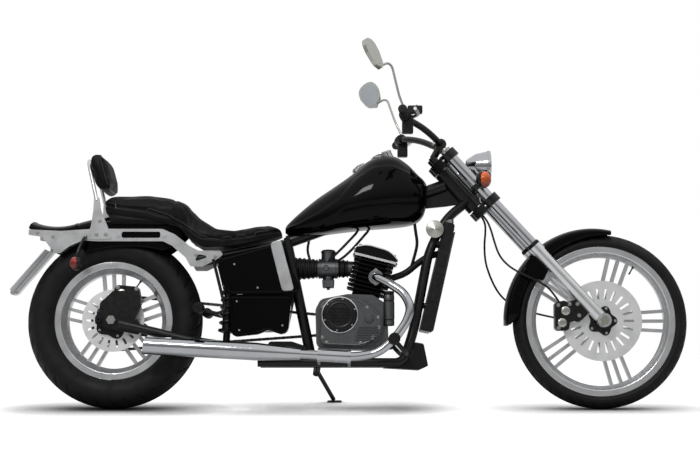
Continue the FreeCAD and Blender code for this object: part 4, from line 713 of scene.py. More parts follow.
# ---------------------------------------------------------------- seat and backrest pad
def upholstered(name, node, voxel, shrink, cap):
    """Padded cover grown from the plain solid: merged, rebuilt at an even mesh size, drawn in, blown up
    as cloth with no gravity, every point held within the cap, then smoothed and subdivided once."""
    mesh = NODES[node].data.copy()
    merge_doubles(mesh)
    pad = bpy.data.objects.new(name, mesh)
    SHOWN.link(pad)
    rebuild = pad.modifiers.new("even", "REMESH")
    rebuild.mode = "VOXEL"
    rebuild.voxel_size = voxel * MM
    bake(pad)
    points, normals = points_of(pad.data), normals_of(pad.data)
    points -= normals * shrink * MM
    move_to(pad.data, points)
    smoothed(pad, 6)
    bake(pad)
    start, normals = points_of(pad.data), normals_of(pad.data)
    blow = pad.modifiers.new("blow", "CLOTH")
    blow.settings.quality = 4
    blow.settings.use_pressure = True
    blow.settings.uniform_pressure_force = 4.0
    blow.settings.effector_weights.gravity = 0.0
    blow.settings.tension_stiffness = 12.0
    blow.settings.bending_stiffness = 1.0
    for step in range(1, 21):
        SCENE.frame_set(step)
    ready = pad.evaluated_get(bpy.context.evaluated_depsgraph_get())
    end = points_of(ready.data)
    pad.modifiers.remove(blow)
    SCENE.frame_set(1)
    move = end - start
    far = np.linalg.norm(move, axis=1, keepdims=True)
    move *= np.minimum(1.0, cap * MM / np.maximum(far, 1e-9))
    move *= step_up(normals[:, 2:], -0.75, -0.2)
    move_to(pad.data, start + move)
    smoothed(pad, 16)
    finer = pad.modifiers.new("finer", "SUBSURF")
    finer.levels = finer.render_levels = 1
    bake(pad)
    pad.data.shade_smooth()
    SHOWN.unlink(pad)
    return pad


def smoothed(made, times):
    """Modifier that evens out the surface a number of times."""
    ease = made.modifiers.new("ease", "SMOOTH")
    ease.factor = 0.5
    ease.iterations = times


def bake(made):
    """Turn an object's modifiers into its mesh."""
    ready = made.evaluated_get(bpy.context.evaluated_depsgraph_get())
    mesh = bpy.data.meshes.new_from_object(ready)
    made.modifiers.clear()
    made.data = mesh


def points_of(mesh, what="co"):
    """Places of a mesh's vertices, or another of their vectors."""
    flat = np.empty(len(mesh.vertices) * 3)
    mesh.vertices.foreach_get(what, flat)
    return flat.reshape(-1, 3)


def move_to(mesh, points):
    """Put a mesh's vertices at new places."""
    mesh.vertices.foreach_set("co", points.ravel())
    mesh.update()


def normals_of(mesh):
    """Directions in which a mesh's surface faces at its vertices."""
    return points_of(mesh, "normal")


def groove(pad, level, along, depth, width, where):
    """Sewn channel: points near the line z = level(x) on the sides move in by depth exp(-(d / width)^2)."""
    points = stand_up(points_of(pad.data))
    normals = normals_of(pad.data)
    away = (points[:, 2] - np.interp(points[:, 0], level, along)) / width
    pull = depth * np.exp(-away ** 2) * where(points, normals)
    move_to(pad.data, set_down(points) - normals * pull[:, None] * MM)


def piping(pad, path, beside, closed=False):
    """Round cord along a path laid on the pad: each point of it is the nearest point of the surface."""
    reached = [pad.closest_point_on_mesh(Vector(p))[1] for p in set_down(path)]
    return swept(stand_up(np.array(reached)), circle(2.6, 8), beside, closed)


SEAM_X = np.array([-60.0, -40.0, 60.0, 135.0, 213.0, 271.0, 341.0, 420.0, 520.0, 660.0])
SEAM_Z = np.array([786.0, 784.0, 770.0, 760.0, 735.0, 700.0, 655.0, 648.0, 660.0, 690.0])
seat = upholstered("seat_cover_padded", "seat", 5.0, 3.0, 9.0)
groove(seat, SEAM_X, SEAM_Z, 4.5, 6.0, lambda p, n: step_up(np.abs(p[:, 1]), 40.0, 60.0))
groove(seat, SEAM_X, SEAM_Z - 34.0, 2.5, 5.0, lambda p, n: step_up(np.abs(p[:, 1]), 70.0, 90.0))
ridge = points_of(seat.data)
upright = stand_up(ridge)
cross_seams = np.array([235.0, 300.0])
sunk = sum(3.0 * np.exp(-((upright[:, 0] - at - 0.04 * np.abs(upright[:, 1])) / 6.0) ** 2)
           for at in cross_seams)
sunk = sunk * step_up(normals_of(seat.data)[:, 2], 0.2, 0.6) * (upright[:, 2] > 690.0)
move_to(seat.data, ridge - normals_of(seat.data) * sunk[:, None] * MM)
enter(seat, "vinyl", nodes=("seat",))
seam_x = np.linspace(-44.0, 640.0, 140)
seam = np.stack([seam_x, np.full(140, 150.0), np.interp(seam_x, SEAM_X, SEAM_Z)], -1)
piece("seat_piping", [piping(seat, seam * (1, side, 1), LEFT * 0.3 + UP) for side in SIDES], "piping")

pad = upholstered("backrest_pad_padded", "backrest_pad", 5.0, 5.0, 9.0)
rim_turn = full_turn(120)
pad_low, pad_high = np.array([-33.0, 0.0, 846.0]), np.array([-72.0, 0.0, 985.0])
pad_middle, pad_along = (pad_low + pad_high) / 2.0, unit(pad_high - pad_low)
pad_out = np.cross(LEFT, pad_along)
wide, tall = squared(np.cos(rim_turn), 0.5) * 112.0, squared(np.sin(rim_turn), 0.5) * 74.0
rim = pad_middle + LEFT * wide[:, None] + pad_along * tall[:, None] + pad_out * 12.0
enter(pad, "vinyl", nodes=("backrest_pad",))
piece("backrest_piping", [piping(pad, rim, pad_out, True)], "piping")


# ---------------------------------------------------------------- wheels and brakes
CARRIER_BORE = 22.0                 # clears the fixed axle spacer by 5 mm


def lobed_ring(centre, radius, swell, lobes, start, end, chamfer=1.2):
    """Disc carrier: a slab between two levels along Y whose outline is radius + swell cos(lobes a), with a
    round bore; its section is carried round the axle as eight rings, four outside and four inside."""
    a = full_turn(100)
    outer = radius + swell * np.cos(lobes * a)
    bore = np.full(len(a), CARRIER_BORE)
    rings = []
    for edge, level in ((outer - chamfer, start), (outer, start + chamfer), (outer, end - chamfer),
                        (outer - chamfer, end), (bore + chamfer, end), (bore, end - chamfer),
                        (bore, start + chamfer), (bore + chamfer, start)):
        rings.append(about((centre[0], level, centre[2]), edge, 0.0, a))
    return np.concatenate(rings), [grid_faces(8, len(a), True, True)]


WHEELS = (
    # body, centre, disc face, carrier radius, bolt circle, rim flange radius, flange level, valve radius
    ("front_wheel", FRONT, -60.0, 52.0, 50.0, 289.5, 27.0, 247.0),
    ("rear_wheel", REAR, -67.0, 66.0, 62.0, 228.0, 52.0, 182.0))
for body, centre, face, carrier, circle_radius, flange, level, valve in WHEELS:
    piece(body + "_disc_carrier", [lobed_ring(centre, carrier, 7.0, 5, face - 4.5, face + 1.0)],
          "enamel", body)
    places = on_circle(centre, circle_radius, 5, 0.0, face - 4.5)
    nuts = [copies(socket_bolt(5.5, 4.5), places, -LEFT)]
    if body == "rear_wheel":
        nuts.append(copies(hexagon_bolt(6.5, 6.0), on_circle(centre, 60.0, 5, 36.0, 102.0), LEFT))
    piece(body + "_disc_bolts", nuts, "zinc", body)
    lip = [(flange - 9.0, 0.0), (flange - 3.0, 2.2), (flange, 4.6), (flange + 0.6, 2.6),
           (flange - 1.0, 0.0)]
    rims = [revolved(lip, centre + LEFT * side * level, LEFT * side, 160, True) for side in SIDES]
    piece(body + "_rim_lips", rims, "chrome", body, sharp=50)
    stem = [(4.0, -4.0), (4.6, 2.0), (3.0, 5.0), (2.6, 22.0), (3.4, 22.5), (3.4, 31.0), (2.2, 32.5),
            (0, 32.5)]
    angle = math.radians(58.0)
    inward = -np.array([math.cos(angle), 0.0, math.sin(angle)])
    place = centre - inward * valve + LEFT * -14.0
    piece(body + "_valve", [revolved(stem, place, inward + LEFT * -0.25, 16)],
          "rubber", body)


def caliper_bits(pistons, rows, level, bolts):
    """Piston covers turned from rows at places (x, z) of one level, and the bolts beside them."""
    bits = [revolved(rows, (x, level, z), -LEFT, 32) for x, z in pistons]
    return bits + [copies(hexagon_bolt(5.2, 5.0), bolts, -LEFT)]


bits = caliper_bits(((FRONT[0] - 158.0, 330.0), (FRONT[0] - 144.0, 376.0)),
                    [(17, 0), (17, 2.5), (14.5, 4), (7, 4.5), (6, 3), (0, 3)], -92.0,
                    [(FRONT[0] - 172, -92, 310), (FRONT[0] - 172, -92, 398), (FRONT[0] - 128, -92, 402),
                     (FRONT[0] - 98, -90, 402), (FRONT[0] - 92, -90, 358)])
piece("front_caliper_pistons", bits, "zinc", "steering")
bits = caliper_bits(((34.0, 440.0), (78.0, 432.0)),
                    [(19, 0), (19, 2.5), (16, 4), (8, 4.5), (6, 3), (0, 3)], -94.0,
                    [(6, -94, 430), (92, -94, 408), (20, -94, 466), (92, -94, 460)])
piece("rear_caliper_pistons", bits, "zinc")


# ---------------------------------------------------------------- fork and headlight
fork_rings, fork_bolts = [], []
for side in SIDES:
    seal = [(24.2, -2), (26.5, 0), (27.2, 5), (25.4, 7), (27.0, 10), (24.5, 15), (21.4, 17), (20.6, 14)]
    fork_rings.append(revolved(seal, on_leg(386.0, side), FORK_UP, 48))
    cap = [(20.4, -2), (21.5, 2), (20.0, 5), (13.0, 6), (12.0, 11), (0, 11)]
    fork_bolts.append(revolved(cap, on_leg(890.0, side), FORK_UP, 48))
    for at in (612.0, 850.0):
        place = on_leg(at + 17.0, side, -30.0) + LEFT * side * 4.0
        fork_bolts.append(copies(socket_bolt(5.5, 6.0), place, -FORK_AHEAD))
    pinch = on_leg(0.0, side) + np.array([-8.0, side * 22.0, -16.0])
    fork_bolts.append(copies(hexagon_bolt(6.5, 6.0), pinch, LEFT * side))
piece("fork_dust_seals", fork_rings, "rubber", "steering")
piece("fork_caps_and_bolts", fork_bolts, "zinc", "steering")

LAMP = np.array([FRONT[0] - 423.0, 0.0, 950.0])
ring = [(51.0, -2.0), (56.0, 3.5), (60.5, 2.5), (62.0, -2.0), (61.0, -8.0), (58.2, -8.5), (58.2, -2.5)]
piece("headlight_rim", [revolved(ring, LAMP, FORWARD, 96, True),
                        copies(socket_bolt(2.6, 2.5), [LAMP + (-4.0, 0.0, -62.0)], -UP)],
      "chrome", "steering")


def signal(middle, facing, radius, length):
    """Round signal: a bullet housing, and on the facing side a lens whose section is a quarter ellipse
    over a straight rim."""
    housing = [(0, -length), (radius * 0.55, -length + 2), (radius * 0.85, -length * 0.7),
               (radius, -length * 0.3), (radius, 0), (radius - 3, 1.5), (0, 1.5)]
    a = np.linspace(0.0, np.pi / 2.0, 12)
    lens = np.stack([(radius - 3.0) * np.cos(a), 3.0 + radius * 0.62 * np.sin(a)], -1)
    lens = np.vstack([[(radius - 3.0, 1.0)], lens])
    return revolved(housing, middle, facing, 48), revolved(lens, middle, facing, 48)


front_pods, front_lenses, stalks = [], [], []
for side in SIDES:
    pod = np.array([FRONT[0] - 462.0, side * 188.0, 871.0])
    housing, lens = signal(pod + FORWARD * 2.0, FORWARD * 0.84 + LEFT * side * 0.54, 34.0, 28.0)
    front_pods.append(housing)
    front_lenses.append(lens)
    foot = on_leg(706.0, side) + LEFT * side * 24.0
    stalks.append(swept(spline([foot, (foot + pod) / 2.0 + UP * -3.0, pod], 20), circle(6.5, 14), UP))
    collar = [(27, -12), (28, -10), (28, 10), (27, 12), (20.8, 12), (20.8, -12)]
    stalks.append(revolved(collar, on_leg(706.0, side), FORK_UP, 40, True))
piece("front_signal_pods", front_pods + stalks, "enamel", "steering", nodes=("front_signals",))
piece("front_signal_lenses", front_lenses, "amber", "steering")

rear_pods, rear_lenses = [], []
for side in SIDES:
    pod = np.array([-133.0, side * 168.0, 552.0])
    housing, lens = signal(pod, -FORWARD * 0.9 + LEFT * side * 0.44, 28.0, 22.0)
    rear_pods.append(housing)
    rear_lenses.append(lens)
    stalk = spline([(-104, side * 113, 662), (-108, side * 144, 645), (-122, side * 164, 600),
                    (-130, side * 168, 570)], 24)
    rear_pods.append(swept(stalk, circle(6.0, 12), FORWARD))
lamp_body = plate(rounded([(-262, 654, 3), (-262, 690, 3), (-240, 690, 3), (-240, 650, 3)]), -54.0,
                  54.0, 2.0)
piece("rear_signal_pods", rear_pods + [lamp_body], "enamel", nodes=("rear_lamps",))
tail_lens = plate(rounded([(-285, 657, 8), (-285, 687, 8), (-261, 688, 3), (-261, 656, 3)]), -51.0, 51.0, 3.0)
piece("rear_lamp_lenses", rear_lenses + [tail_lens], "red")


# ---------------------------------------------------------------- bars and mirrors
BAR_FOOT = on_leg(884.0, 0, -49.0)
BAR_END = BAR_FOOT + np.array([-146.0, 425.0, 144.0])
GRIP_ALONG = unit(np.array([-22.0, 193.0, 2.0]))


def ribbed_grip():
    """Rubber grip along the bar: radius 16.2 + 0.8 cos of the way along, with a flange and a closed end."""
    t = np.linspace(-116.0, -6.0, 150)
    ribs = 16.2 + 0.8 * np.cos(2.0 * np.pi * t / 7.0) * step_up(t, -108.0, -100.0)
    rows = np.vstack([[(12.9, -118.0), (21.0, -118.0), (21.5, -114.0), (17.0, -112.0)],
                      np.stack([ribs, t], -1)[6:], [(15.5, -1.0), (13.0, 3.4), (0.0, 3.8)]])
    return revolved(rows, BAR_END, GRIP_ALONG, 56)


piece("ribbed_grips", both(ribbed_grip()), "rubber", "steering", nodes=("grips",), sharp=55)
riser_bolts = []
for side in SIDES:
    top = BAR_FOOT + np.array([16.0, side * 40.0, 72.0])
    riser_bolts += [top + FORWARD * 14.0 + LEFT * side * dy + FORK_UP * 16.0 for dy in (-9.0, 9.0)]
    riser_bolts += [top - FORWARD * 12.0 + LEFT * side * dy + FORK_UP * 18.0 for dy in (-9.0, 9.0)]
block = BAR_END - GRIP_ALONG * 169.0
riser_bolts += [block + (42.0, 0.0, 43.0), block * (1, -1, 1) + (42.0, 0.0, 43.0)]
piece("riser_bolts", [copies(socket_bolt(4.2, 5.0), riser_bolts, FORK_UP)],
      "zinc", "steering")

MIRROR_SIDES = (
    # side, way it faces, its upper end
    (-1, (-0.79, 0.50, -0.36), (-0.415, 0.0, 0.91)), (1, (-0.52, -0.83, 0.19), (-0.5, 0.12, 0.86)))


def mirror_glass(side, facing, top):
    """Glass of the oval mirror: along = 58 cos a + 3, across = 39 sin a (1 + 0.12 cos a), slightly domed."""
    centre = BAR_FOOT + np.array([-252.0, side * 400.0, 352.0])
    facing = unit(facing)
    top = unit(np.array(top) - facing * np.dot(top, facing))
    wide = np.cross(facing, top)
    a = full_turn(64)[None]
    r = np.linspace(0.0, 1.0, 8)[:, None]
    along, over = r * (58.0 * np.cos(a) + 3.0), r * 39.0 * np.sin(a) * (1.0 + 0.12 * np.cos(a))
    dome = 7.6 + 1.2 * (1.0 - r ** 2) + 0.0 * a
    points = (centre + along[..., None] * top + over[..., None] * wide + dome[..., None] * facing)
    return points.reshape(-1, 3), [grid_faces(8, 64, False, True)]


piece("mirror_glasses", [mirror_glass(*row) for row in MIRROR_SIDES], "mirror", "steering")


# ---------------------------------------------------------------- speedometer
DIAL_FOOT = np.array([1052.0, 0.0, 958.0])
DIAL_AXIS = unit(np.array([-0.42, 0.0, 0.9]))
DIAL_TOP = unit(np.cross(LEFT, DIAL_AXIS))
DIAL_RIGHT = np.cross(DIAL_TOP, DIAL_AXIS)
cup = [(0, 0), (38, 0), (41, 4), (42, 12), (42, 36), (43, 39), (42, 43), (39.5, 44), (38, 42), (37.6, 38),
       (0, 38)]
piece("speedometer_cup", [revolved(cup, DIAL_FOOT, DIAL_AXIS, 96)], "chrome", nodes=("speedometer",))
face = [(0, 38.1), (37.4, 38.1), (37.4, 38.9), (0, 38.9)]
piece("speedometer_face", [revolved(face, DIAL_FOOT, DIAL_AXIS, 64)], "abs")


def dial_hand(turn):
    """Direction on the dial at a clock-like turn in degrees."""
    return DIAL_TOP * math.cos(math.radians(turn)) + DIAL_RIGHT * math.sin(math.radians(turn))


def dial_tick(turn, low, high, width):
    """Thin bar on the dial from one radius to another at a clock-like turn in degrees."""
    out = dial_hand(turn)
    across_tick = np.cross(DIAL_AXIS, out) * width / 2.0
    foot = DIAL_FOOT + DIAL_AXIS * 39.1
    ring = np.array([foot + out * low - across_tick, foot + out * low + across_tick,
                     foot + out * high + across_tick, foot + out * high - across_tick])
    return capped(np.array([ring - DIAL_AXIS * 0.3, ring + DIAL_AXIS * 0.15]))


ticks = [dial_tick(turn, 30.0 if i % 2 else 28.0, 34.5, 0.8 if i % 2 else 1.3)
         for i, turn in enumerate(np.linspace(-120.0, 120.0, 25))]
piece("speedometer_ticks", ticks + [dial_tick(-104.0, -6.0, 26.0, 1.6)], "ink")


def dial_number(text, turn, radius, size):
    """Number on the dial, made a mesh and laid on the face at a clock-like turn."""
    curve = bpy.data.curves.new("number_" + text, "FONT")
    curve.body = text
    curve.size = size * MM
    curve.align_x, curve.align_y = "CENTER", "CENTER"
    curve.extrude = 0.1 * MM
    holder = bpy.data.objects.new("number_" + text, curve)
    mesh = bpy.data.meshes.new_from_object(holder)
    bpy.data.objects.remove(holder)
    flat = points_of(mesh) / MM
    at = DIAL_FOOT + DIAL_AXIS * 39.2 + radius * dial_hand(turn)
    points = at + flat[:, :1] * DIAL_RIGHT + flat[:, 1:2] * DIAL_TOP + flat[:, 2:] * DIAL_AXIS
    move_to(mesh, set_down(points))
    enter(bpy.data.objects.new("dial_number_" + text, mesh), "ink")


for i, turn in enumerate(np.linspace(-120.0, 120.0, 7)):
    dial_number(str(20 * i), turn, 22.5, 6.0)
lens = [(0.0, 41.2), (37.8, 41.0), (37.8, 42.0), (30.0, 43.0), (15.0, 43.8), (0.0, 44.0)]
piece("speedometer_glass", [revolved(lens, DIAL_FOOT, DIAL_AXIS, 64)], "glass")


# ---------------------------------------------------------------- engine
CLUTCH = np.array([874.0, 0.0, 358.0])
GENERATOR = np.array([960.0, 0.0, 335.0])
CYLINDER_FOOT = np.array([972.0, 0.0, 432.0])
CYLINDER_LEAN = math.radians(14.0)                  # forward from upright


def tilted(points):
    """Places on the leaning cylinder (x, y, up its axis) to upright millimetres."""
    p = np.atleast_2d(np.asarray(points, float))
    c, s = math.cos(CYLINDER_LEAN), math.sin(CYLINDER_LEAN)
    return np.stack([CYLINDER_FOOT[0] + p[:, 0] * c + p[:, 2] * s, p[:, 1],
                     CYLINDER_FOOT[2] - p[:, 0] * s + p[:, 2] * c], -1)


CYLINDER_UP = tilted((0, 0, 1))[0] - tilted((0, 0, 0))[0]
CASE_COVER = rounded([(796, 246, 30), (960, 240, 40), (1030, 280, 40), (1040, 350, 50), (965, 410, 50),
                      (860, 432, 60), (792, 400, 40)], 8)
middle = CASE_COVER.mean(0)


def along_outline(share, draw, level):
    """Places spread round the case cover's outline, drawn in towards its middle."""
    inner = middle + (CASE_COVER - middle) * draw
    t = np.asarray(share) * len(inner)
    k = t.astype(int) % len(inner)
    f = (t - np.floor(t))[:, None]
    flat = inner[k] * (1 - f) + inner[(k + 1) % len(inner)] * f
    return at_level(flat, level)


case_bits = []
for side, level in ((-1, 130.0), (1, 125.0)):
    loop = along_outline(np.linspace(0.0, 1.0, 120, endpoint=False), 0.97, side * level)
    case_bits.append(bead(loop, 3.2))
ribs = [rib(930 + 3 * i, 1018 + 1.5 * i, 262 + 9.5 * i, 265.5 + 9.5 * i, -136.0, -128.0)
        for i in range(6)]
filler = revolved([(17, -2), (17, 7), (15, 9), (9, 9.5), (8, 13), (0, 13.5)], (985, -130, 345),
                  -LEFT)
drain = revolved([(26, -2), (26, 6), (22, 9), (12, 9), (10, 12), (0, 12)], (985, 153, 335), LEFT)
piece("crankcase_ribs_and_flanges", case_bits + ribs + [filler], "cast")
bolt_share = np.array([0.02, 0.1, 0.2, 0.3, 0.4, 0.5, 0.6, 0.7, 0.8, 0.92])
case_bolts = [copies(hexagon_bolt(4.6, 4.5), along_outline(bolt_share, 0.92, -130.0), -LEFT),
              copies(hexagon_bolt(4.6, 4.5), along_outline(bolt_share, 0.92, 125.0), LEFT),
              copies(socket_bolt(3.6, 3.5), on_circle(CLUTCH, 60.5, 6, 20.0, -148.0), -LEFT),
              copies(socket_bolt(3.6, 3.5), on_circle(GENERATOR, 61.0, 6, 10.0, 149.0), LEFT)]
head_places = tilted([(-66, -50, 190), (72, -50, 180), (-66, 50, 190), (72, 50, 180)])
case_bolts.append(copies(hexagon_bolt(5.2, 6.0), head_places, CYLINDER_UP))
piece("engine_bolts", case_bolts, "zinc")

cover_bits = [revolved([(50, -1), (50, 3), (47, 4.2), (44, 3), (44, -1)], CLUTCH - LEFT * 150.0,
                       -LEFT, 80, True)]
for i in range(5):
    z = CLUTCH[2] - 24.0 + 12.0 * i
    half = math.sqrt(40.0 ** 2 - (z - CLUTCH[2]) ** 2)
    cover_bits.append(rib(CLUTCH[0] - half, CLUTCH[0] + half, z - 2, z + 2, -155.0, -148.0, 4))
piece("clutch_cover_ribs", cover_bits + [drain], "enamel")
starter = [(0, -1), (14, -1), (20.8, 3), (20.8, 20), (19.4, 21), (19.4, 24), (21.4, 25), (21.4, 92),
           (19.4, 93), (19.4, 97), (20.8, 98), (20.8, 116), (15, 127), (8, 133), (0, 133.5)]
piece("starter_motor", [revolved(starter, (1062.0, -98.0, 318.0), UP, 48)], "cast")
ring = [(68.6, -1), (69.6, 2.4), (66.5, 4.2), (63.5, 2.4), (63.5, -1)]
piece("clutch_cover_ring", [revolved(ring, CLUTCH - LEFT * 132.0, -LEFT, 96, True)], "polished")

rocker = rounded([(-84, 156, 4), (88, 156, 4), (88, 168, 8), (50, 194, 30), (-40, 198, 20),
                  (-84, 180, 10)], 8)
edge_lines = [bead(tilted(at_level(rocker, side * 66.0)), 2.0) for side in SIDES]
gasket = rounded([(-84, -66, 14), (88, -66, 14), (88, 66, 14), (-84, 66, 14)], 8)
edge_lines.append(bead(tilted(np.c_[gasket, np.full(len(gasket), 151.0)]), 3.2, CYLINDER_UP))
piece("rocker_cover_edges", edge_lines, "polished")

plug = tilted((10, 78, 142))[0]
plug_out = unit(np.array([0.1, 0.9, 0.2]))
piece("spark_plug_cap", [revolved([(0, -4), (10, -4), (10, 6), (7.5, 9), (7.5, 30), (9, 32), (9, 46), (5, 50),
                                   (0, 50)], plug, plug_out, 24)], "rubber")
fin = rounded([(-77, -80, 26), (77, -80, 26), (77, 80, 26), (-77, 80, 26)], 8)
fin_lines = [bead(tilted(np.c_[fin, np.full(len(fin), 18.0 + i * 16.5 + 2.5)]), 2.3, CYLINDER_UP)
             for i in range(8)]
piece("cylinder_fin_edges", fin_lines, "heat")


def bellows(start, end, low, high, folds):
    """Rubber intake boot: radius low + (high - low) t + 2.2 cos(2 pi folds t), and 1.5 mm of wall."""
    t = np.linspace(0.0, 1.0, folds * 10 + 1)
    r = low + (high - low) * t + 2.2 * np.cos(2.0 * np.pi * folds * t)
    start, end = np.asarray(start, float), np.asarray(end, float)
    rows = np.vstack([[(low - 3.0, 0.0)], np.stack([r + 1.5, t * np.linalg.norm(end - start)], -1),
                      [(high - 3.0, np.linalg.norm(end - start))]])
    return revolved(rows, start, end - start, 48, True)


INTAKE = 545.0                      # height of the intake's middle line
piece("intake_boots", [bellows((786, 0, INTAKE), (700, 0, INTAKE), 34.0, 42.0, 5),
                       bellows((868, 0, INTAKE), (905, 0, INTAKE), 33.0, 31.0, 2)], "rubber", sharp=60)
clamp = [(38.2, -2), (39.6, -1), (39.6, 1), (38.2, 2)]
carb_bits = [revolved(clamp, (x, 0.0, INTAKE), FORWARD, 48, True) for x in (793.0, 800.0, 858.0)]
carb_bits += [
    # float bowl, slide cover, idle knob, bowl screws and drain screw
    plate(rounded([(806, 470, 5), (850, 470, 5), (852, 500, 4), (804, 500, 4)]), -28.0, 28.0, 2.5),
    revolved([(29, -3), (29, 2), (26, 5), (24, 8), (12, 10), (0, 10)], (828, 0, 610.0), UP),
    revolved([(12, 0), (12, 10), (10, 12), (0, 12)], (820.0, -36.0, INTAKE), -LEFT, 24),
    copies(socket_bolt(2.8, 3.0), [(x, y, 499) for y in (-20, 20) for x in (810, 846)], UP),
    copies(hexagon_bolt(6.0, 8.0), [(828, 0, 470)], -UP)]
piece("carburettor_body_details", carb_bits, "cast")


# ---------------------------------------------------------------- radiator, exhaust and pegs
front_low, front_high = np.array([1226.0, 0.0, 304.0]), np.array([1313.0, 0.0, 682.0])
core_ahead = unit(np.array([front_high[2] - front_low[2], 0.0, front_low[0] - front_high[0]]))


def radiator_core():
    """Corrugated core face: a sheet stepping 1.6 mm in and out with the sine of the way up."""
    t = np.linspace(0.0, 1.0, 600)[:, None]
    y = np.linspace(-80.0, 80.0, 3)[None]
    line = front_low + (front_high - front_low) * t
    wave = 1.8 + 1.6 * np.sin(2.0 * np.pi * 75.0 * t)
    outer = line[:, None] + LEFT * y[..., None] + core_ahead * (wave[..., None] + 0.0 * y[..., None])
    inner = line[:, None] + LEFT * y[..., None] - core_ahead * (1.0 + 0.0 * y[..., None])
    return shell(outer, inner)


column = rounded([(1228, 300, 2), (1233, 299, 2), (1320, 681, 2), (1315, 682, 2)], 3)
columns = [plate(column, y - 2.0, y + 2.0, 0.6) for y in (-84.0, -42.0, 0.0, 42.0, 84.0)]
piece("radiator_core_face", [radiator_core()] + columns, "enamel", sharp=60)
cap = [(17, -2), (17, 6), (19, 7), (19, 12), (15, 14), (0, 15)]
piece("radiator_cap", [revolved(cap, (1300.0, -52.0, 718.0), UP + FORWARD * -0.25, 32)], "zinc")

flange_face = np.array([1012.0, -98.0, 506.0])
nut_places = [flange_face + (0.0, 4.0, dz) for dz in (-24.0, 24.0)]
piece("exhaust_flange_nuts", [copies(hexagon_bolt(6.0, 8.0), nut_places, -LEFT)], "zinc")


def peg_rubber(centre, start, end, radius):
    """Ribbed peg sleeve: radius + 1.6 |cos| of the way along, with a closed outer end."""
    t = np.linspace(start, end, 90)
    r = radius + 1.6 * np.abs(np.cos(np.pi * (t - start) / 11.0))
    rows = np.vstack([[(radius - 4.0, start)], np.stack([r, t], -1), [(radius - 2.0, end + 2.5),
                                                                    (0.0, end + 3.0)]])
    at = np.array([centre[0], 0.0, centre[2]])
    return revolved(rows, at, LEFT, 40)


pegs = []
for centre, start, end, radius in (((1077, 0, 261), 246.0, 326.0, 20.4), ((341, 0, 381), 150.0, 232.0, 18.4)):
    pegs += both(peg_rubber(centre, start, end, radius))
piece("footpeg_rubbers", pegs, "rubber", sharp=60)


# ---------------------------------------------------------------- shock, chain and panels
def spring(low, high, radius, wire, turns):
    """Coil spring: a round wire along low + up t + radius (cos 2 pi n t, sin 2 pi n t)."""
    low, high = np.asarray(low, float), np.asarray(high, float)
    t = np.linspace(0.0, 1.0, turns * 28 + 1)[:, None]
    u, v = square_to(high - low)
    a = 2.0 * np.pi * turns * t
    path = low + (high - low) * t + radius * (np.cos(a) * u + np.sin(a) * v)
    return swept(path, circle(wire, 10), high - low)


low, high = np.array([430.0, 0.0, 242.0]), np.array([452.0, 0.0, 586.0])
up = unit(high - low)
length = np.linalg.norm(high - low)
body_rows = [(0, 5), (14, 5), (14, 50), (35, 56), (35, 66), (21, 70), (21, length - 46), (35, length - 38),
             (35, length - 22), (16, length - 18), (14, length - 11), (0, length - 11)]
piece("shock_body", [revolved(body_rows, low, up, 48)], "enamel", nodes=("shock_absorber",))
piece("shock_spring", [spring(low + up * 68, low + up * (length - 40), 29.0, 4.8, 8)], "powder")


def chain_places(pitch):
    """Even places along the chain's middle line: two straight runs and the arcs round both sprockets."""
    big, small = REAR, np.array([806.0, 0.0, 330.0])
    big_radius, small_radius = 107.0, 39.0
    gap = small - big
    tilt = math.atan2(gap[2], gap[0])
    lift = math.acos((big_radius - small_radius) / np.linalg.norm(gap))
    turns = np.linspace(tilt + lift, tilt - lift + 2.0 * np.pi, 200)[:, None]
    heel = big + big_radius * (np.cos(turns) * FORWARD + np.sin(turns) * UP)
    turns = np.linspace(tilt - lift, tilt + lift, 80)[:, None]
    nose = small + small_radius * (np.cos(turns) * FORWARD + np.sin(turns) * UP)
    loop = np.vstack([heel, nose])
    loop = np.vstack([loop, loop[:1]])
    way = np.concatenate([[0.0], np.cumsum(np.linalg.norm(np.diff(loop, axis=0), axis=1))])
    count = 2 * int(round(way[-1] / pitch / 2.0))
    at = (np.arange(count) + 0.5) * way[-1] / count
    places = np.stack([np.interp(at, way, loop[:, i]) for i in range(3)], -1)
    ahead = np.roll(places, -1, 0) - np.roll(places, 1, 0)
    return places + LEFT * 99.0, ahead


def link_plate(level, long, tall):
    """Waisted side plate of a link, as an outline (along, across) given a thickness of 1.6 mm."""
    a = full_turn(14)
    along = long * squared(np.cos(a), 0.8)
    across_plate = tall * np.sin(a) * (0.78 + 0.22 * np.abs(np.cos(a)))
    ring = np.stack([np.zeros(14), across_plate, along], -1)
    return capped(np.stack([ring + (level - 0.8, 0, 0), ring + (level + 0.8, 0, 0)]))


def roller(radius, half):
    """Cross pin of a link, closed at both ends."""
    a = full_turn(10)
    ring = np.stack([np.zeros(10), radius * np.cos(a), radius * np.sin(a)], -1)
    return capped(np.stack([ring - (half, 0, 0), ring + (half, 0, 0)]))


CHAIN_PITCH = 15.875
places, ahead = chain_places(CHAIN_PITCH)
inner_link = joined(link_plate(-5.0, 12.2, 7.0), link_plate(5.0, 12.2, 7.0), roller(5.0, 4.2))
outer_link = joined(link_plate(-7.2, 12.2, 6.6), link_plate(7.2, 12.2, 6.6), roller(2.4, 9.0))
links = [copies(inner_link, places[::2], ahead[::2]), copies(outer_link, places[1::2], ahead[1::2])]
piece("chain_links", links, "chain", nodes=("drive_chain",))

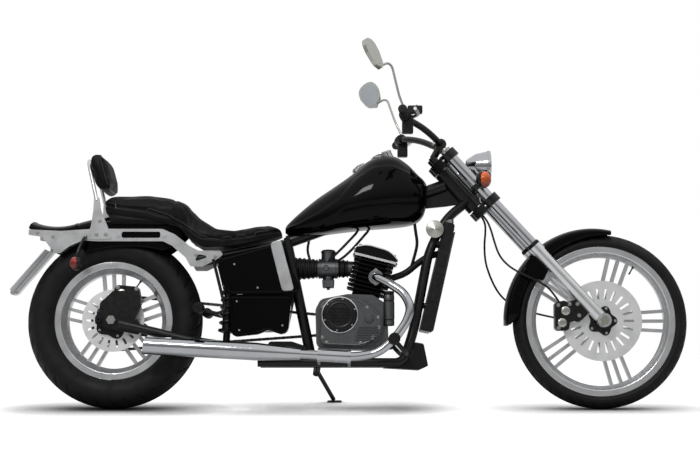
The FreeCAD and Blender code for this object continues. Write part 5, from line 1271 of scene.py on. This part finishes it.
strip = rounded([(606, 634, 16), (648, 646, 14), (700, 452, 14), (654, 448, 12)], 8)
piece("side_cover_polished_strips", both(plate(strip, -138.0, -131.5, 2.0)), "polished")
cover_line = rounded([(412, 566, 26), (634, 624, 22), (724, 448, 24), (450, 444, 20)], 10)
box_line = rounded([(460, 424, 8), (682, 424, 14), (668, 284, 26), (600, 308, 20), (562, 293, 10),
                    (470, 282, 18)], 8)
cover_edges = both(bead(at_level(cover_line, -132.0), 2.6)) + [bead(at_level(box_line, -126.0), 2.4)]
piece("side_cover_beads", cover_edges, "lacquer")
panel_bolts = [copies(socket_bolt(4.2, 3.5), [(470, -132, 552), (560, -132, 462), (480, -126, 410),
                                             (655, -126, 318), (490, -126, 300)], -LEFT),
               copies(socket_bolt(4.2, 3.5), [(470, 132, 552), (560, 132, 462)], LEFT)]
for side in SIDES:
    blade = [(-62, side * 118, 668), (-26, side * 118, 668), (-50, side * 118, 720)]
    panel_bolts.append(copies(hexagon_bolt(5.6, 5.0), blade, LEFT * side))
    rail = [(-290, side * 113, 675), (-230, side * 113, 660), (395, side * 113, 582), (320, side * 113, 590)]
    panel_bolts.append(copies(hexagon_bolt(5.2, 4.5), rail, LEFT * side))
piece("panel_and_rail_bolts", panel_bolts, "zinc")


# ---------------------------------------------------------------- camera
VIEW_FROM = Vector((0.005, -6.08, 0.62))
VIEW_AT = Vector((0.005, 0.0, 0.715))
LENS = 79.0

camera = bpy.data.objects.new("camera", bpy.data.cameras.new("camera"))
camera.data.lens = LENS
camera.data.clip_end = 60.0
camera.location = VIEW_FROM
camera.rotation_euler = (VIEW_AT - VIEW_FROM).to_track_quat("-Z", "Y").to_euler()
SHOWN.link(camera)
SCENE.camera = camera


# ---------------------------------------------------------------- hose and cable
def loose_line(name, node, points, diameter):
    """Free cord on a NURBS line of the given control points, drawn as a round tube."""
    curve = bpy.data.curves.new(name, "CURVE")
    curve.dimensions = "3D"
    line = curve.splines.new("NURBS")
    placed = set_down(points)
    line.points.add(len(placed) - 1)
    line.points.foreach_set("co", np.c_[placed, np.ones(len(placed))].ravel())
    line.order_u = 3
    line.use_endpoint_u = True
    line.resolution_u = 8
    curve.bevel_depth = diameter / 2.0
    curve.bevel_resolution = 3
    curve.use_fill_caps = True
    cord = enter(bpy.data.objects.new(name, curve), "rubber", "steering", nodes=(node,))


BRAKE_HOSE = ((1431, -25, 752.7), (1447, -26, 735), (1462, -38, 696), (1473, -56, 646),
              (1488, -72, 594), (1514, -84, 558), (1550, -95, 530), (1595, -100, 508),
              (1644, -98, 486), (1688, -88, 456), (1718, -70, 412.5))
SPEEDO_CABLE = ((1431, 25, 752.7), (1445, 27, 733), (1448, 38, 696), (1443, 50, 644),
                (1447, 61, 580), (1461, 68, 534), (1480, 76, 490), (1504, 82, 450),
                (1538, 88, 418), (1580, 92, 396), (1630, 93, 380), (1682, 92, 367),
                (1734, 88, 356), (1782, 80, 348), (1822, 72, 343), (1855.2, 68, 339.5))
loose_line("hydraulic_brake_hose", "brake_hose", BRAKE_HOSE, 0.008)
loose_line("speedometer_drive_cable", "speedometer_cable", SPEEDO_CABLE, 0.008)


# ---------------------------------------------------------------- studio
WHITE = linear("ffffff")


def seen_directly(tree):
    """1 for rays that come from the camera, a shiny surface or clear glass, else 0."""
    path = add(tree, "LightPath")
    seen = add(tree, "Math", links={0: path.outputs["Is Camera Ray"], 1: path.outputs["Is Glossy Ray"]},
               operation="MAXIMUM")
    seen = add(tree, "Math", links={0: seen.outputs[0], 1: path.outputs["Is Transmission Ray"]},
               operation="MAXIMUM")
    return seen.outputs[0]


def staged(name, mesh, material):
    """Object of the studio, which is no part of the machine."""
    mesh.materials.append(material)
    made = bpy.data.objects.new(name, mesh)
    SHOWN.link(made)
    made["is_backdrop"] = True
    return made


def studio_floor():
    """Pale flat floor whose matt part keeps the lamps' shadow and whose glow carries a painted contact
    shadow:
    the glow fails where something stands close over it, its colour rises to the white behind with distance,
    and shiny surfaces see it at part strength."""
    size = 30.0
    corners = [(-size, -size, 0), (size, -size, 0), (size, size, 0), (-size, size, 0)]
    mesh = bpy.data.meshes.new("floor")
    mesh.from_pydata(corners, [], [(0, 1, 2, 3)])
    made = blank_material("matt_white_paper")
    tree = made.node_tree
    place = add(tree, "TexCoord").outputs["Object"]
    away = add(tree, "VectorMath", links={0: place}, operation="LENGTH")
    far = add(tree, "MapRange", {"From Min": 1.5, "From Max": 3.4}, {"Value": away.outputs["Value"]},
              interpolation_type="SMOOTHSTEP")
    matt = add(tree, "BsdfDiffuse", {"Color": linear("6c6c6c")})
    glossy = add(tree, "LightPath").outputs["Is Glossy Ray"]
    tone = add(tree, "Math", {1: -0.4, 2: 1.0}, {0: glossy}, operation="MULTIPLY_ADD")
    # painted contact shadow: the glow is scaled by ambient occlusion within 0.24 m, raised to the fourth
    # power
    covered = add(tree, "AmbientOcclusion", {"Distance": 0.24}, samples=6)
    open_share = add(tree, "Math", {1: 4.0}, {0: covered.outputs["AO"]}, operation="POWER")
    level = add(tree, "Math", {}, {0: open_share.outputs[0], 1: tone.outputs[0]}, operation="MULTIPLY")
    glow = add(tree, "Emission", {"Color": WHITE}, {"Strength": level.outputs[0]})
    near = add(tree, "AddShader", links={0: matt.outputs[0], 1: glow.outputs[0]})
    white = add(tree, "Emission", {"Color": WHITE}, {"Strength": tone.outputs[0]})
    shown = add(tree, "MixShader", links={0: far.outputs[0], 1: near.outputs[0], 2: white.outputs[0]})
    chosen = add(tree, "MixShader", links={0: seen_directly(tree), 1: matt.outputs[0], 2: shown.outputs[0]})
    add(tree, "OutputMaterial", links={"Surface": chosen.outputs[0]})
    staged("studio_floor", mesh, made)


def studio_tent():
    """Grey cloth tent round the set, which only shiny surfaces see, so that chrome and lacquer keep
    their contrast: a dome of radius 8 m, dark along the ground and paler overhead."""
    turn = full_turn(96)[None]
    rise = np.linspace(0.004, np.pi / 2.0 - 0.01, 24)[:, None]
    points = 8.0 * np.stack([np.cos(rise) * np.cos(turn), np.cos(rise) * np.sin(turn),
                             np.sin(rise) + 0.0 * turn], -1)
    mesh = bpy.data.meshes.new("tent")
    mesh.from_pydata(points.reshape(-1, 3).tolist(), [], grid_faces(24, 96, False, True).tolist())
    made = blank_material("grey_tent_cloth")
    tree = made.node_tree
    place = add(tree, "TexCoord").outputs["Object"]
    parts = add(tree, "SeparateXYZ", links={0: place})
    level = add(tree, "MapRange", {"From Min": 1.3, "From Max": 5.6, "To Min": 0.24, "To Max": 0.85},
                {"Value": parts.outputs["Z"]}, interpolation_type="SMOOTHSTEP")
    glow = add(tree, "Emission", {"Color": WHITE}, {"Strength": level.outputs[0]})
    add(tree, "OutputMaterial", links={"Surface": glow.outputs[0]})
    tent = staged("studio_tent", mesh, made)
    for ray in ("camera", "diffuse", "transmission", "volume_scatter", "shadow"):
        setattr(tent, "visible_" + ray, False)


def soft_box(name, at, aim, width, height, power, mirrored_too=False):
    """Soft box aimed at a place; shiny surfaces see the tent in its stead unless mirrored_too."""
    lamp = bpy.data.lights.new(name, "AREA")
    lamp.shape = "RECTANGLE"
    lamp.size = width
    lamp.size_y = height
    lamp.energy = power
    holder = bpy.data.objects.new(name, lamp)
    holder.location = at
    holder.rotation_euler = (Vector(aim) - Vector(at)).to_track_quat("-Z", "Y").to_euler()
    holder.visible_glossy = mirrored_too
    SHOWN.link(holder)


def studio_world():
    """White behind the object and in its reflections, dimmer as a light."""
    world = bpy.data.worlds.new("studio")
    SCENE.world = world
    world.use_nodes = True
    tree = world.node_tree
    tree.nodes.clear()
    dim = add(tree, "Background", {"Color": WHITE, "Strength": 0.3})
    full = add(tree, "Background", {"Color": WHITE, "Strength": 1.0})
    mix = add(tree, "MixShader", links={0: seen_directly(tree), 1: dim.outputs[0], 2: full.outputs[0]})
    add(tree, "OutputWorld", links={"Surface": mix.outputs[0]})


studio_floor()
studio_tent()
studio_world()
soft_box("top_soft_box", (0.2, -0.6, 3.6), (0.0, 0.0, 0.4), 4.0, 2.4, 90.0)
soft_box("near_soft_box", (-1.6, -4.4, 4.2), (0.0, 0.0, 0.5), 1.6, 0.8, 85.0, True)
soft_box("far_soft_box", (2.0, 3.4, 2.6), (0.0, 0.0, 0.6), 2.2, 1.6, 40.0)
SCENE.view_settings.view_transform = "Standard"

low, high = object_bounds()
